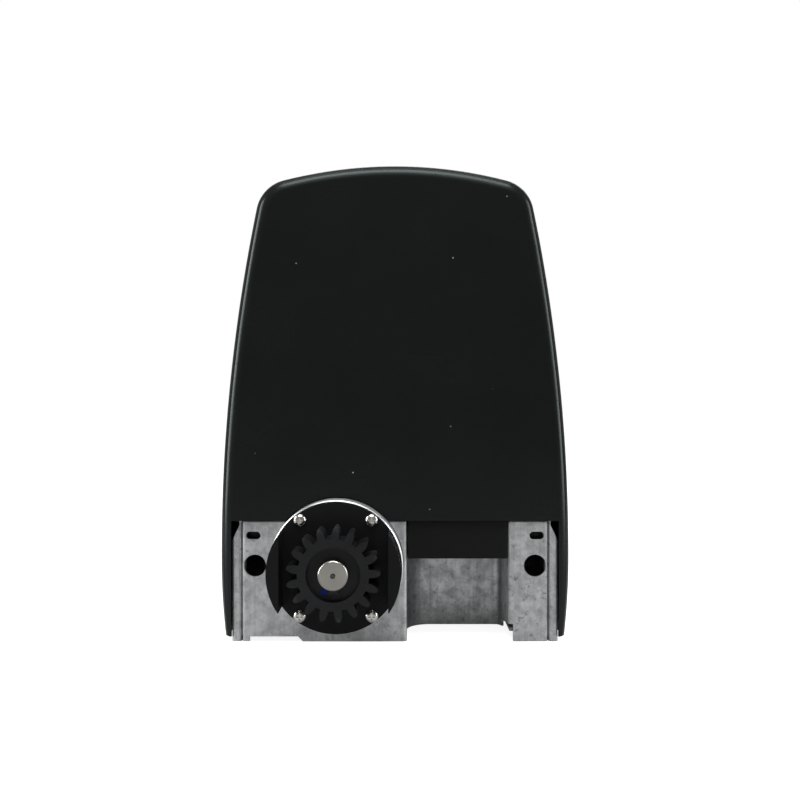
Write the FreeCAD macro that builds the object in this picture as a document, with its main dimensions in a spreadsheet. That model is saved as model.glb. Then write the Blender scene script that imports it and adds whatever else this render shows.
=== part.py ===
"""Sliding gate motor: a worm-geared operator with a rack pinion, on a folded steel chassis.

Millimetres, +Z up. The gate and its rack run along X on the -Y side, and the street is on the +Y
side. The origin is on the ground, under the middle of the overall width and depth.
"""
import FreeCAD, Part
import math
import os
import re

import Sketcher

V = FreeCAD.Vector

# ---------------------------------------------------------------- driving dimensions

SIZES = {
    # cover: a moulded hood over the whole machine
    "cover_half": 150.5,        # half width at the waist, its widest
    "cover_top": 409.7,
    "cover_waist": 72.0,        # height of the widest level
    "cover_foot": 4.0,          # gap to the ground
    "crown_radius": 385.0,
    "side_radius": 1500.0,
    "skirt_radius": 600.0,      # below the waist
    "corner_radius": 32.0,
    "cover_deep": 190.0,
    "cover_wall": 3.0,
    "back_round": 12.0,         # edge round on the gate side
    "street_round": 30.0,       # edge round on the street side
    "panel_foot": 103.5,        # lower edge of the gate side panel
    "panel_proud": 1.5,         # panel in front of the chassis face
    "hook_wide": 14.0,          # moulded hooks that drop behind the chassis plate
    "hook_deep": 11.0,
    "hook_long": 24.0,
    "cover_slot_half": 3.0,
    # folded steel chassis
    "sheet": 2.5,
    "bend": 3.5,                # outer bend radius
    "chassis_inset": 10.6,      # from the cover's waist in to the cheeks
    "seam_inset": 8.4,          # from the cheeks in to the plate's flanges
    "plate_top": 103.3,
    "cheek_top": 86.0,
    "cheek_deep": 168.0,
    "flange": 12.0,
    "lip": 8.0,                 # top edge of the plate, folded back
    "recess_left": 10.3,
    "recess_right": 96.8,
    "recess_deep": 62.0,
    "recess_round": 22.0,
    "recess_bend": 6.0,
    "foot_step": 4.3,
    "slot_x": 121.5,
    "slot_z": 90.8,
    "slot_wide": 12.4,
    "slot_high": 6.7,
    "port_x": 120.0,
    "port_z": 65.0,
    "port_radius": 9.5,
    "pan_foot": 6.0,            # underside of the base pan
    "pan_sheet": 3.0,
    "pan_flange": 18.0,
    "street_flange": 36.0,
    "sensor_foot": 71.0,
    "rivet_radius": 2.4,
    "cover_screw_inset": 33.9,
    "cover_screw_z": 22.0,
    "cover_screw_radius": 2.5,
    # foundation and levelling
    "anchor_spread": 230.0,
    "anchor_pitch": 120.0,
    "anchor_first": 28.0,       # from the chassis face to the first row
    "anchor_wide": 12.0,
    "anchor_long": 24.0,
    "level_radius": 4.0,
    "level_spread": 118.0,
    "level_pitch": 72.0,
    "level_first": 58.0,
    "cable_radius": 16.0,
    # output side
    "axis_x": -49.4,
    "axis_z": 66.5,
    "boss_radius": 56.5,
    "boss_proud": 18.0,
    "guard_radius": 55.5,
    "guard_sheet": 2.0,
    "guard_chord": 44.2,        # inner faces of the guard's side walls
    "guard_wall_top": 50.0,     # from the chassis face to the front of the walls
    "guard_wall_half": 31.0,
    "guard_bore": 23.0,
    "guard_screw_x": 30.0,
    "guard_screw_z": 40.0,
    "screw_head": 5.5,
    "screw_head_high": 3.4,
    "pinion_teeth": 17,
    "pinion_module": 4.0,
    "pinion_wide": 25.0,
    "pinion_front": 53.0,       # from the chassis face to the pinion's front
    "pinion_recess": 22.0,
    "pinion_recess_deep": 6.0,
    "pinion_turn": -2.0,        # degrees, tooth nearest to level
    "shaft_radius": 12.0,
    "shaft_reach": 56.0,        # from the chassis face to the shaft's tip
    "seat_radius": 15.0,
    "wheel_seat": 16.0,
    "key_wide": 8.0,
    "key_high": 7.0,
    "running": 0.05,            # radial clearance of a running fit
    "gap": 0.3,                 # clearance between bodies that pass each other
    # reduction gear
    "wheel_teeth": 30,
    "worm_module": 2.5,
    "worm_root": 8.9,
    "worm_journal": 7.0,
    "worm_deep": 84.0,          # worm axis behind the chassis face
    "wheel_wide": 28.0,
    "tooth_play": 0.35,
    "worm_long": 50.0,
    "case_radius": 50.0,
    "case_wall": 6.0,
    "lid_screw": 2.0,
    "lid_screw_head": 3.4,
    "lid_screw_inset": 3.5,
    "case_back": 112.0,
    "tunnel_radius": 20.0,
    "tunnel_bore": 15.5,
    "tunnel_foot": 20.0,
    "flange_top": 126.0,
    "flange_high": 8.0,
    "case_bolt_x": 36.0,
    "case_bolt_front": 10.0,
    "case_bolt_back": 16.0,
    "bearing_wide": 12.0,
    "rear_bearing": 23.5,
    "rear_journal": 12.5,
    # manual release
    "dog_travel": 6.5,
    "dog_radius": 28.0,
    "rod_radius": 5.0,
    "nose_radius": 16.0,
    "nose_end": 146.0,
    "hub_radius": 20.5,
    "hub_end": 163.0,
    "lever_long": 46.0,
    "lever_wide": 14.0,
    "door_x": -40.0,
    "door_foot": 30.0,
    "door_wide": 104.0,
    "door_high": 100.0,
    "door_gap": 0.8,
    "knuckle": 3.0,
    "lock_radius": 9.0,
    "lock_drop": 22.0,
    "pin_radius": 1.5,
    # motor
    "motor_radius": 54.0,
    "motor_wall": 4.0,
    "motor_high": 126.0,
    "motor_base": 6.0,
    "fin_high": 4.0,
    "fin_wide": 2.5,
    "fins": 28,
    "stator_bore": 32.0,
    "air_gap": 0.5,
    "coil_gap": 7.0,            # from the motor's floor to the windings
    "stack_high": 66.0,
    "coil_high": 13.0,
    "motor_shaft": 8.0,
    # control gear
    "tray_half": 98.0,
    "tray_foot": 168.0,
    "tray_high": 150.0,
    "tray_deep": 154.0,
    "tray_wall": 3.0,
    "board_half": 88.0,
    "board_high": 130.0,
    "board_thick": 1.6,
    "capacitor_radius": 20.0,
    "capacitor_high": 85.0,
    "capacitor_x": 98.0,
    "capacitor_foot": 190.0,
}

# Places and sizes worked out from the driving dimensions
PLACES = {
    "chassis_half": "cover_half - chassis_inset",
    "plate_half": "chassis_half - seam_inset",
    "cover_screw_x": "chassis_half - cover_screw_inset",
    "street_face": "cover_deep - panel_proud",
    "face": "(shaft_reach - street_face - 2 * knuckle - gap) / 2",
    "street": "face + street_face",
    "worm_y": "face + worm_deep",
    "wheel_pitch": "wheel_teeth * worm_module / 2",
    "worm_pitch": "0 - axis_x - wheel_pitch",
    "wheel_front": "worm_y - wheel_wide / 2",
    "wheel_back": "worm_y + wheel_wide / 2",
    "dog_y": "wheel_back + 0.5",
    "lid_y": "face + case_back",
    "cheek": "chassis_half - sheet",
    "pan_top": "pan_foot + pan_sheet",
    "anchor_y": "face + anchor_first",
    "tip": "face - shaft_reach",
    "front": "face - pinion_front",
    "pinion_back": "front + pinion_wide",
    "boss_y": "face - boss_proud",
    "guard_y": "boss_y - guard_sheet",
    "shell": "motor_radius + motor_wall",
    "motor_seat": "shell + 9",
    "motor_top": "flange_top + motor_high",
    "motor_floor": "flange_top + motor_base",
    "stack_foot": "motor_floor + coil_gap + coil_high",
    "tray_y": "face + tray_deep",
    "cheek_end": "face + cheek_deep",
    "rivet_y": "face + flange * 0.6",
    "pan_end": "cheek_end - bend - gap",
    "board_y": "tray_y + tray_wall + 5",
    "board_foot": "tray_foot + 10",
    "transformer_x": "0 - 4",
    "capacitor_y": "tray_y - capacitor_radius - 4",
    "hub_y": "face + hub_end",
    "hinge_y": "street + knuckle + gap",
    "hinge_z": "door_foot - knuckle",
    "lock_z": "door_foot + door_high - lock_drop",
}

doc = FreeCAD.newDocument("SlidingGateMotor")
sheet_object = doc.addObject("Spreadsheet::Sheet", "Sizes")
for row, (name, size) in enumerate(SIZES.items(), 1):
    sheet_object.set(f"A{row}", name)
    sheet_object.set(f"B{row}", str(size))
    sheet_object.setAlias(f"B{row}", name)
doc.recompute()


def bound(text):
    """Turn the plain names in text into references to the sheet's cells."""
    def reference(match):
        word = match.group(0)
        if word in PLACES:
            return f"({bound(PLACES[word])})"
        return f"Sizes.{word}" if word in SIZES else word
    return re.sub(r"[a-z_]+", reference, str(text))


def value(text):
    """The number that an expression in plain names stands for."""
    return float(sheet_object.evalExpression(bound(text)))


def bind(piece, **expressions):
    for path, text in expressions.items():
        piece.setExpression(path.replace("__", "."), bound(text))


# ---------------------------------------------------------------- primitives and booleans

AXES = {"X": (V(0, 1, 0), 90, "yz", "x"), "Y": (V(1, 0, 0), -90, "xz", "y"), "Z": (V(0, 0, 1), 0, "xy", "z")}


def box(name, x, y, z):
    """A block between the low and high place on each axis."""
    piece = doc.addObject("Part::Box", name)
    for side, axis, (low, high) in (("Length", "x", x), ("Width", "y", y), ("Height", "z", z)):
        bind(piece, **{side: f"({high}) - ({low})", f"Placement__Base__{axis}": low})
    return piece


def rod(name, axis, at, low, high, radius):
    """A cylinder along a row axis, at its place on the other two axes."""
    turn, degrees, others, along = AXES[axis]
    piece = doc.addObject("Part::Cylinder", name)
    piece.Placement = FreeCAD.Placement(V(), FreeCAD.Rotation(turn, degrees))
    places = {f"Placement__Base__{letter}": place for letter, place in zip(others, at)}
    bind(piece, Radius=radius, Height=f"({high}) - ({low})", **places, **{f"Placement__Base__{along}": low})
    return piece


def fuse(name, *pieces):
    piece = doc.addObject("Part::MultiFuse", name)
    piece.Shapes = list(pieces)
    piece.Refine = True
    return piece


def cut(name, base, *tools):
    for number, tool in enumerate(tools):
        piece = doc.addObject("Part::Cut", f"{name}_{number}")
        piece.Base, piece.Tool = base, tool
        base = piece
    piece.Refine = True
    return piece


def hexagon(name, axis, low, high, radius):
    """A six sided bar on a row axis."""
    turn, degrees, _, along = AXES[axis]
    piece = doc.addObject("Part::Prism", name)
    piece.Polygon = 6
    piece.Placement = FreeCAD.Placement(V(), FreeCAD.Rotation(turn, degrees))
    bind(piece, Circumradius=radius, Height=f"({high}) - ({low})", **{f"Placement__Base__{along}": low})
    return piece


def fastener(name, axis, head, shank):
    """A plain screw or bolt: head and shank are (low, high, radius) along its axis."""
    return fuse(name, hexagon(f"{name}_head", axis, *head), hexagon(f"{name}_shank", axis, *shank))


def tube(name, axis, at, low, high, outer, inner):
    return cut(name, rod(f"{name}_outer", axis, at, low, high, outer),
               rod(f"{name}_inner", axis, at, f"({low}) - 1", f"({high}) + 1", inner))


# ---------------------------------------------------------------- sketches and features

PLANES = {"X": ("YZ_Plane", 1), "Y": ("XZ_Plane", -1), "Z": ("XY_Plane", 1)}


def arc(centre, start, end):
    """A counter-clockwise arc between two points."""
    first = math.atan2(start.y - centre.y, start.x - centre.x)
    last = math.atan2(end.y - centre.y, end.x - centre.x)
    circle = Part.Circle(centre, V(0, 0, 1), (start - centre).Length)
    return Part.ArcOfCircle(circle, first, last if last > first else last + 2 * math.pi)


def new_body(name):
    return doc.addObject("PartDesign::Body", name)


def sketch(body, name, normal, origin):
    """An empty sketch across a row axis; origin is its zero point in X, Y, Z."""
    role, sign = PLANES[normal]
    piece = body.newObject("Sketcher::SketchObject", name)
    plane = next(item for item in body.Origin.OriginFeatures if item.Role == role)
    piece.AttachmentSupport = [(plane, "")]
    piece.MapMode = "FlatFace"
    x, y, z = origin
    shift = {"X": (y, z, x), "Y": (x, z, f"{sign} * ({y})"), "Z": (x, y, z)}[normal]
    for letter, place in zip("xyz", shift):
        bind(piece, **{f"AttachmentOffset__Base__{letter}": place})
    return piece


def constrain(piece, kind, *places, size=None):
    if size is None:
        piece.addConstraint(Sketcher.Constraint(kind, *places))
        return
    number = piece.addConstraint(Sketcher.Constraint(kind, *places, value(size)))
    bind(piece, **{f"Constraints[{number}]": size})


def draw(piece, outline):
    """A closed outline of corners (x, y); (x, y, centre x, centre y, turn) starts an arc.

    turn is 1 for a counter-clockwise arc and -1 for a clockwise one.
    """
    corners = [V(value(corner[0]), value(corner[1]), 0) for corner in outline]
    ends = []
    for number, corner in enumerate(outline):
        start, end = corners[number], corners[(number + 1) % len(outline)]
        if len(corner) == 2:
            index, order = piece.addGeometry(Part.LineSegment(start, end), False), (1, 2)
        else:
            centre = V(value(corner[2]), value(corner[3]), 0)
            pair = (start, end) if corner[4] > 0 else (end, start)
            index, order = piece.addGeometry(arc(centre, *pair), False), (1, 2) if corner[4] > 0 else (2, 1)
            flat = abs(end.x - start.x) > abs(end.y - start.y)
            constrain(piece, "DistanceY" if flat else "DistanceX", -1, 1, index, 3,
                      size=corner[3] if flat else corner[2])
        ends.append((index, *order))
    for number, (corner, (index, start, end)) in enumerate(zip(outline, ends)):
        following = ends[(number + 1) % len(ends)]
        constrain(piece, "Coincident", index, end, following[0], following[1])
        constrain(piece, "DistanceX", -1, 1, index, start, size=corner[0])
        constrain(piece, "DistanceY", -1, 1, index, start, size=corner[1])


def folded(line, wall):
    """The section of a sheet bent at right angles; its outer line (x, y, radius) has the sheet on its left."""
    points = [V(value(x), value(y), 0) for x, y, _ in line]
    heads = [(after - before).normalize() for before, after in zip(points, points[1:])]
    heads = [heads[0], *heads, heads[-1]]

    def place(text, amount, size):
        return f"{text} + ({amount:.0f}) * ({size})" if abs(amount) > 0.5 else text

    outer, inner = [], []
    for (x, y, radius), into, away in zip(line, heads, heads[1:]):
        left_in, left_out = V(-into.y, into.x, 0), V(-away.y, away.x, 0)
        start = [place(x, -into.x, radius), place(y, -into.y, radius)]
        end = [place(x, away.x, radius), place(y, away.y, radius)]
        inner_start = [place(start[0], left_in.x, wall), place(start[1], left_in.y, wall)]
        inner_end = [place(end[0], left_out.x, wall), place(end[1], left_out.y, wall)]
        if radius == "0":
            outer.append(tuple(start))
            inner.append(tuple(inner_start))
            continue
        centre = [place(start[0], away.x, radius), place(start[1], away.y, radius)]
        turn = 1 if into.cross(away).z > 0 else -1
        outer += [(*start, *centre, turn), tuple(end)]
        inner += [tuple(inner_start), (*inner_end, *centre, -turn)]
    return outer + inner[::-1]


def extend(body, kind, name, normal, outline, low, high):
    """Pad or pocket an outline between two places on the axis across it."""
    backwards = (normal == "Y") != (kind == "Pocket")
    origin = ["0", "0", "0"]
    origin["XYZ".index(normal)] = high if backwards else low
    base = sketch(body, f"{name}_sketch", normal, origin)
    draw(base, outline)
    piece = body.newObject(f"PartDesign::{kind}", name)
    piece.Profile = base
    bind(piece, Length=f"({high}) - ({low})")
    return piece


def pad(body, name, normal, outline, low, high):
    return extend(body, "Pad", name, normal, outline, low, high)


def pocket(body, name, normal, outline, low, high):
    """A pocket that must take something away, or the build stops."""
    before = body.Shape.Volume
    piece = extend(body, "Pocket", name, normal, outline, low, high)
    doc.recompute()
    if body.Shape.Volume > before - 0.01:
        raise RuntimeError(f"{name} cuts nothing")
    return piece


def round_edges(body, name, kind, size, choose):
    """Fillet or chamfer the edges of the body's tip that choose picks."""
    doc.recompute()
    base = body.Tip
    names = [f"Edge{number}" for number, edge in enumerate(base.Shape.Edges, 1) if choose(edge)]
    piece = body.newObject(f"PartDesign::{kind}", name)
    piece.Base = (base, names)
    bind(piece, **{"Radius" if kind == "Fillet" else "Size": size})
    return piece


def rectangle(x, y):
    return [(x[0], y[0]), (x[1], y[0]), (x[1], y[1]), (x[0], y[1])]


def slot(x, y, long, wide):
    """A slot along x, of an end-to-end length."""
    ends = [f"{x} - ({long} - {wide}) / 2", f"{x} + ({long} - {wide}) / 2"]
    low, high = f"{y} - {wide} / 2", f"{y} + {wide} / 2"
    return [(ends[0], low), (ends[1], low, ends[1], y, 1), (ends[1], high), (ends[0], high, ends[0], y, 1)]


def disc(x, y, radius):
    left, right = f"{x} - ({radius})", f"{x} + ({radius})"
    return [(left, y, x, y, 1), (right, y, x, y, 1)]


def turned(name, axis, at, profile):
    """A revolved body. Its profile's corners are (place along the axis, radius)."""
    body = new_body(name)
    if axis == "Y":
        base = sketch(body, f"{name}_sketch", "X", (at[0], "0", at[1]))
        draw(base, profile)
        line = "H_Axis"
    else:
        base = sketch(body, f"{name}_sketch", "Y", (at[0], at[1], "0"))
        draw(base, [corner[1::-1] if len(corner) == 2 else (*corner[1::-1], *corner[3:1:-1], -corner[4])
                    for corner in profile])
        line = "V_Axis"
    piece = body.newObject("PartDesign::Revolution", f"{name}_turn")
    piece.Profile = base
    piece.ReferenceAxis = (base, [line])
    piece.Angle = 360
    return body


nodes = []


def node(name, piece):
    piece.Label = name
    nodes.append(piece)
    return piece


def copies(name, master, places):
    """Loose copies of one piece, as a group of separate solids."""
    doc.recompute()
    group = doc.addObject("Part::Feature", name)
    group.Shape = Part.makeCompound([master.Shape.translated(V(*place)) for place in places])
    return node(name, group)


AXIS = ("axis_x", "axis_z")
WORM = ("0", "worm_y")
CASE_BOLTS = [(f"axis_x + ({side}) * case_bolt_x", y) for side in (-1, 1)
              for y in ("worm_y - case_bolt_front", "worm_y + case_bolt_back")]


# ---------------------------------------------------------------- places of fasteners

CORNERS = [(-1, 1), (1, 1), (-1, -1), (1, -1)]
LID_SCREWS = [(f"axis_x + {math.cos(math.radians(turn)):.4f} * (case_radius - lid_screw_inset)",
               f"axis_z + {math.sin(math.radians(turn)):.4f} * (case_radius - lid_screw_inset)")
              for turn in range(30, 360, 60)]
MOTOR_SCREWS = [(f"({i}) * (shell + 4.5) * 0.7071", f"worm_y + ({j}) * (shell + 4.5) * 0.7071") for i, j in CORNERS]
CAP_SCREWS = [(f"({i}) * (motor_radius + 2) * 0.7071", f"worm_y + ({j}) * (motor_radius + 2) * 0.7071")
              for i, j in CORNERS]
RIVETS_Z = ("12", "plate_top / 2", "plate_top - 12")
SENSOR_SCREWS = ("recess_left + 30", "recess_right - 18")
OUTER_KNUCKLES = ("door_x - 38", "door_x + 38")
INNER_KNUCKLES = ("door_x - 24", "door_x + 24")
TRAY_Z = ("tray_foot", "tray_foot + tray_high")
BOARD_Z = ("board_foot", "board_foot + board_high")
BOARD_SCREWS = [(f"({i}) * (board_half - 5)", f"board_foot + board_high / 2 + ({j}) * (board_high / 2 - 5)")
                for i, j in CORNERS]


# ---------------------------------------------------------------- folded steel chassis

def rear_plate():
    """The gate side plate, folded back into a recess for the limit sensor, and its narrow right part."""
    body = new_body("RearPlate")
    line = [("0 - plate_half", "face + flange", "0"), ("0 - plate_half", "face", "bend"),
            ("recess_left", "face", "bend"), ("recess_left", "face + recess_deep", "recess_round"),
            ("recess_right", "face + recess_deep", "recess_bend"), ("recess_right", "face", "bend"),
            ("plate_half", "face", "bend"), ("plate_half", "face + flange", "0")]
    pad(body, "folded_sheet", "Z", folded(line, "sheet"), "0", "plate_top")
    doc.recompute()
    # The gearbox boss passes through an arch that is open at the top.
    pocket(body, "boss_arch", "Y", disc(*AXIS, "boss_radius + 0.5"), "face - 1", "face + flange + 1")
    for side, sign in (("left", -1), ("right", 1)):
        pocket(body, f"{side}_slot", "Y", slot(f"{sign} * slot_x", "slot_z", "slot_wide", "slot_high"),
               "face - 1", "face + sheet + 1")
        pocket(body, f"{side}_port", "Y", disc(f"{sign} * port_x", "port_z", "port_radius"),
               "face - 1", "face + sheet + 1")
        pocket(body, f"{side}_foot", "Y", rectangle((f"{sign} * plate_half - 1", f"{sign} * plate_half + 1"),
               ("-1", "foot_step")), "face - 1", "face + flange + 1")
    foot = [("0 - plate_half + 7", "-1"), ("0 - 78", "-1"), ("0 - 83", "foot_step"),
            ("0 - plate_half + 7", "foot_step")]
    pocket(body, "foot_relief", "Y", foot, "face - 1", "face + sheet + 1")
    for number, x in enumerate(SENSOR_SCREWS):
        pocket(body, f"sensor_hole_{number}", "Y", disc(x, "sensor_foot + 16", "2.2"),
               "face + recess_deep - 1", "face + recess_deep + sheet + 1")
    rivet_holes(body, "plate_half + 1")
    # The right hand wall of the recess is trimmed so that it rises towards the gate.
    trim = [("face - 1", "15"), ("face + bend", "15"), ("face + recess_deep - recess_bend", "6"),
            ("face + recess_deep - recess_bend", "-1"), ("face - 1", "-1")]
    pocket(body, "recess_trim", "X", trim, "recess_right - 0.1", "recess_right + bend + 1")
    # Folded top lip, each side of the arch and the recess
    for name, low, high in (("left", "0 - plate_half + bend", "axis_x - boss_radius"),
                            ("middle", "axis_x + boss_radius - 7", "recess_left - bend"),
                            ("right", "recess_right + bend", "plate_half - bend")):
        lip = [("face + sheet / 2", "plate_top - sheet"), ("face + lip", "plate_top - sheet"),
               ("face + lip", "plate_top"), ("face + sheet / 2", "plate_top")]
        pad(body, f"{name}_lip", "X", lip, low, high)
    face, top = value("face"), value("plate_top")
    round_edges(body, "lip_round", "Fillet", "sheet / 2", lambda edge: all(
        abs(corner.Point.z - top) < 0.01 and abs(corner.Point.y - face) < 0.01 for corner in edge.Vertexes))
    # The sheet is in three pieces. The left seam is under the boss, so the strip beside the arch is whole.
    for name, low, high in (("rear_plate", "0 - plate_half - 1", "axis_x + boss_radius * 0.7"),
                            ("recess_sheet", "axis_x + boss_radius * 0.7", "recess_right + bend"),
                            ("right_plate", "recess_right + bend", "plate_half + 1")):
        piece = doc.addObject("Part::MultiCommon", f"{name}_piece")
        piece.Shapes = [body, box(f"{name}_bounds", (low, high),
                                  ("face - 1", "face + recess_deep + sheet + 1"), ("-1", "plate_top + 1"))]
        node(name, piece)


def rivet_holes(body, edge):
    """Holes through both side flanges, out to a place beyond the seam with the cheeks."""
    for number, z in enumerate(RIVETS_Z):
        pocket(body, f"rivet_hole_{number}", "X", disc("rivet_y", z, "rivet_radius"), f"0 - ({edge})", edge)


def cheek(name, sign):
    """A side cheek with a return flange on the gate side and one on the street side."""
    body = new_body(name.title().replace("_", ""))
    line = [(f"{sign} * (chassis_half - flange)", "cheek_end", "0"), (f"{sign} * chassis_half", "cheek_end", "bend"),
            (f"{sign} * chassis_half", "face", "bend"), (f"{sign} * plate_half", "face", "bend"),
            (f"{sign} * plate_half", "face + flange", "0")]
    pad(body, "folded_sheet", "Z", folded(line if sign < 0 else line[::-1], "sheet"), "0", "plate_top")
    doc.recompute()
    slope = [(f"{sign} * chassis_half", "cheek_top"), (f"{sign} * (chassis_half + 5)", "cheek_top"),
             (f"{sign} * (chassis_half + 5)", "plate_top + 1"), (f"{sign} * plate_half", "plate_top + 1"),
             (f"{sign} * plate_half", "plate_top")]
    pocket(body, "sloped_top", "Y", slope, "face - 1", "face + bend")
    # Behind the flange the wall is lower, but the strip that the plate is riveted to keeps its height.
    outside, strip, inside = (f"{sign} * ({place})" for place in
                              ("chassis_half + 1", "plate_half + sheet + 0.5", "chassis_half - flange - 1"))
    low_wall = [(outside, "face + bend"), (strip, "face + bend"), (strip, "face + flange + 1"),
                (inside, "face + flange + 1"), (inside, "cheek_end + 1"), (outside, "cheek_end + 1")]
    pocket(body, "low_wall", "Z", low_wall, "cheek_top", "plate_top + 1")
    low, high = ("0 - cheek + 1", "1 - plate_half") if sign < 0 else ("plate_half - 1", "cheek - 1")
    for number, z in enumerate(RIVETS_Z):
        pocket(body, f"rivet_hole_{number}", "X", disc("rivet_y", z, "rivet_radius"), low, high)
    return node(name, body)


def base_pan():
    """The floor, folded up along both cheeks and on the street side, with slots for the anchors."""
    body = new_body("BasePan")
    line = [("0 - cheek", "pan_foot + pan_flange", "0"), ("0 - cheek", "pan_foot", "bend"),
            ("cheek", "pan_foot", "bend"), ("cheek", "pan_foot + pan_flange", "0")]
    pad(body, "folded_sheet", "Y", folded(line, "pan_sheet"), "face + flange + gap", "pan_end")
    pad(body, "street_flange", "Z", rectangle(("0 - cheek + 20", "cheek - 20"),
        ("pan_end - pan_sheet", "pan_end")), "pan_foot", "pan_foot + street_flange")
    doc.recompute()
    pocket(body, "recess_notch", "Z", rectangle(("recess_left - sheet - gap", "recess_right + sheet + gap"),
           ("face", "face + recess_deep + sheet + gap")), "pan_foot - 1", "pan_foot + pan_flange + 1")
    for row in range(2):
        for sign in (-1, 1):
            place = f"{sign} * anchor_spread / 2"
            pocket(body, f"anchor_{row}_{sign + 1}", "Z",
                   slot(place, f"anchor_y + {row} * anchor_pitch", "anchor_long", "anchor_wide"),
                   "pan_foot - 1", "pan_top + 1")
            pocket(body, f"level_{row}_{sign + 1}", "Z",
                   disc(f"{sign} * level_spread", f"face + level_first + {row} * level_pitch", "level_radius"),
                   "pan_foot - 1", "pan_top + 1")
    pocket(body, "cable_hole", "Z", disc("62", "face + 120", "cable_radius"), "pan_foot - 1", "pan_top + 1")
    for number, (x, y) in enumerate(CASE_BOLTS):
        pocket(body, f"case_hole_{number}", "Z", disc(x, y, "4.2"), "pan_foot - 1", "pan_top + 1")
    for number, x in enumerate(("0 - cover_screw_x", "cover_screw_x")):
        pocket(body, f"screw_hole_{number}", "Y", disc(x, "cover_screw_z", "cover_screw_radius"),
               "pan_end - pan_sheet - 1", "pan_end + 1")
    return node("base_pan", body)


def chassis_fasteners():
    rivet = fuse("rivet", hexagon("rivet_shank", "X", "0 - sheet", "sheet", "rivet_radius"),
                 hexagon("rivet_head", "X", "sheet", "sheet + 1.2", "rivet_radius + 0.8"),
                 hexagon("rivet_tail", "X", "0 - sheet - 1.2", "0 - sheet", "rivet_radius + 0.8"))
    copies("chassis_rivets", rivet, [(side * value("plate_half"), value("rivet_y"), value(z))
                                     for side in (-1, 1) for z in RIVETS_Z])

    screw = hexagon("level_screw", "Z", "0", "pan_top + 16", "level_radius")
    nut = cut("level_nut", hexagon("nut_block", "Z", "pan_top", "pan_top + 6.5", "6.5"),
              rod("nut_bore", "Z", ("0", "0"), "pan_top - 1", "pan_top + 8", "level_radius"))
    places = [(side * value("level_spread"), value("face + level_first") + row * value("level_pitch"), 0)
              for side in (-1, 1) for row in range(2)]
    copies("levelling_screws", screw, places)
    copies("levelling_nuts", nut, places)


# ---------------------------------------------------------------- reduction gearbox

def gearbox_housing():
    """The cast case: boss and wheel chamber along the output axis, worm tunnel and motor flange above."""
    outside = turned("CaseOutside", "Y", AXIS, [
        ("boss_y", "0"), ("boss_y", "boss_radius - 1"), ("boss_y + 1", "boss_radius"), ("face + 8", "boss_radius"),
        ("face + 14", "seat_radius + 25"), ("wheel_front - 14", "seat_radius + 25"),
        ("wheel_front - case_wall", "case_radius"), ("lid_y", "case_radius"), ("lid_y", "0")])
    tunnel = rod("tunnel_outside", "Z", WORM, "tunnel_foot", "flange_top - 2", "tunnel_radius")
    motor_seat = rod("motor_seat", "Z", WORM, "flange_top - flange_high", "flange_top", "motor_seat")
    foot = box("case_foot", ("axis_x - case_bolt_x - 10", "axis_x + case_bolt_x + 10"),
               ("worm_y - case_bolt_front - 8", "worm_y + case_bolt_back + 8"),
               ("pan_top", "axis_z - case_radius + 14"))
    web = box("tunnel_web", ("axis_x", "0"), ("worm_y - 8", "worm_y + 8"), ("pan_top", "flange_top - 2"))
    outside = fuse("case_outside", outside, tunnel, motor_seat, foot, web)
    inside = turned("CaseInside", "Y", AXIS, [
        ("boss_y - 1", "0"), ("boss_y - 1", "seat_radius + 10.5"), ("boss_y + 8", "seat_radius + 10.5"),
        ("boss_y + 8", "seat_radius + 16"), ("boss_y + 24", "seat_radius + 16"), ("boss_y + 24", "seat_radius + 4"),
        ("wheel_front - 3", "seat_radius + 4"), ("wheel_front - 3", "case_radius - case_wall"),
        ("lid_y + 1", "case_radius - case_wall"), ("lid_y + 1", "0")])
    tunnel_bore = rod("tunnel_bore_tool", "Z", WORM, "tunnel_foot - 1", "flange_top + 1", "tunnel_bore")
    holes = [rod(f"guard_thread_{number}", "Y", (f"axis_x + ({i}) * guard_screw_x", f"axis_z + ({j}) * guard_screw_z"),
                 "boss_y - 1", "boss_y + 16", "3") for number, (i, j) in enumerate(CORNERS)]
    holes += [rod(f"lid_thread_{number}", "Y", place, "lid_y - 12", "lid_y + 1", "lid_screw")
              for number, place in enumerate(LID_SCREWS)]
    holes += [rod(f"case_thread_{number}", "Z", place, "pan_top - 1", "pan_top + 9.5", "4")
              for number, place in enumerate(CASE_BOLTS)]
    holes += [rod(f"motor_hole_{number}", "Z", place, "flange_top - flange_high + 1", "flange_top + 1", "2.5")
              for number, place in enumerate(MOTOR_SCREWS)]
    return node("gearbox_housing", cut("case", outside, inside, tunnel_bore, *holes))


def gearbox_lid():
    """The street side lid, with the rear bearing's seat and the nose that the release hub turns on."""
    outside = turned("LidOutside", "Y", AXIS, [
        ("lid_y", "rod_radius + running"), ("lid_y + 16", "rod_radius + running"),
        ("face + nose_end", "rod_radius + running"), ("face + nose_end", "nose_radius - 1"),
        ("face + nose_end - 1", "nose_radius"), ("lid_y + 22", "nose_radius"), ("lid_y + 20", "seat_radius + 14"),
        ("lid_y + 6", "seat_radius + 16"), ("lid_y + 6", "case_radius"), ("lid_y", "case_radius")])
    seat = turned("LidSeat", "Y", AXIS, [
        ("lid_y - 1", "0"), ("lid_y - 1", "dog_radius + 1.5"), ("lid_y + 4", "dog_radius + 1.5"),
        ("lid_y + 4", "rear_bearing"), ("lid_y + 4 + bearing_wide", "rear_bearing"),
        ("lid_y + 4 + bearing_wide", "0")])
    holes = [rod(f"lid_hole_{number}", "Y", place, "lid_y - 1", "lid_y + 7", "lid_screw + 0.2")
             for number, place in enumerate(LID_SCREWS)]
    return node("gearbox_lid", cut("lid", outside, seat, *holes))


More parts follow.
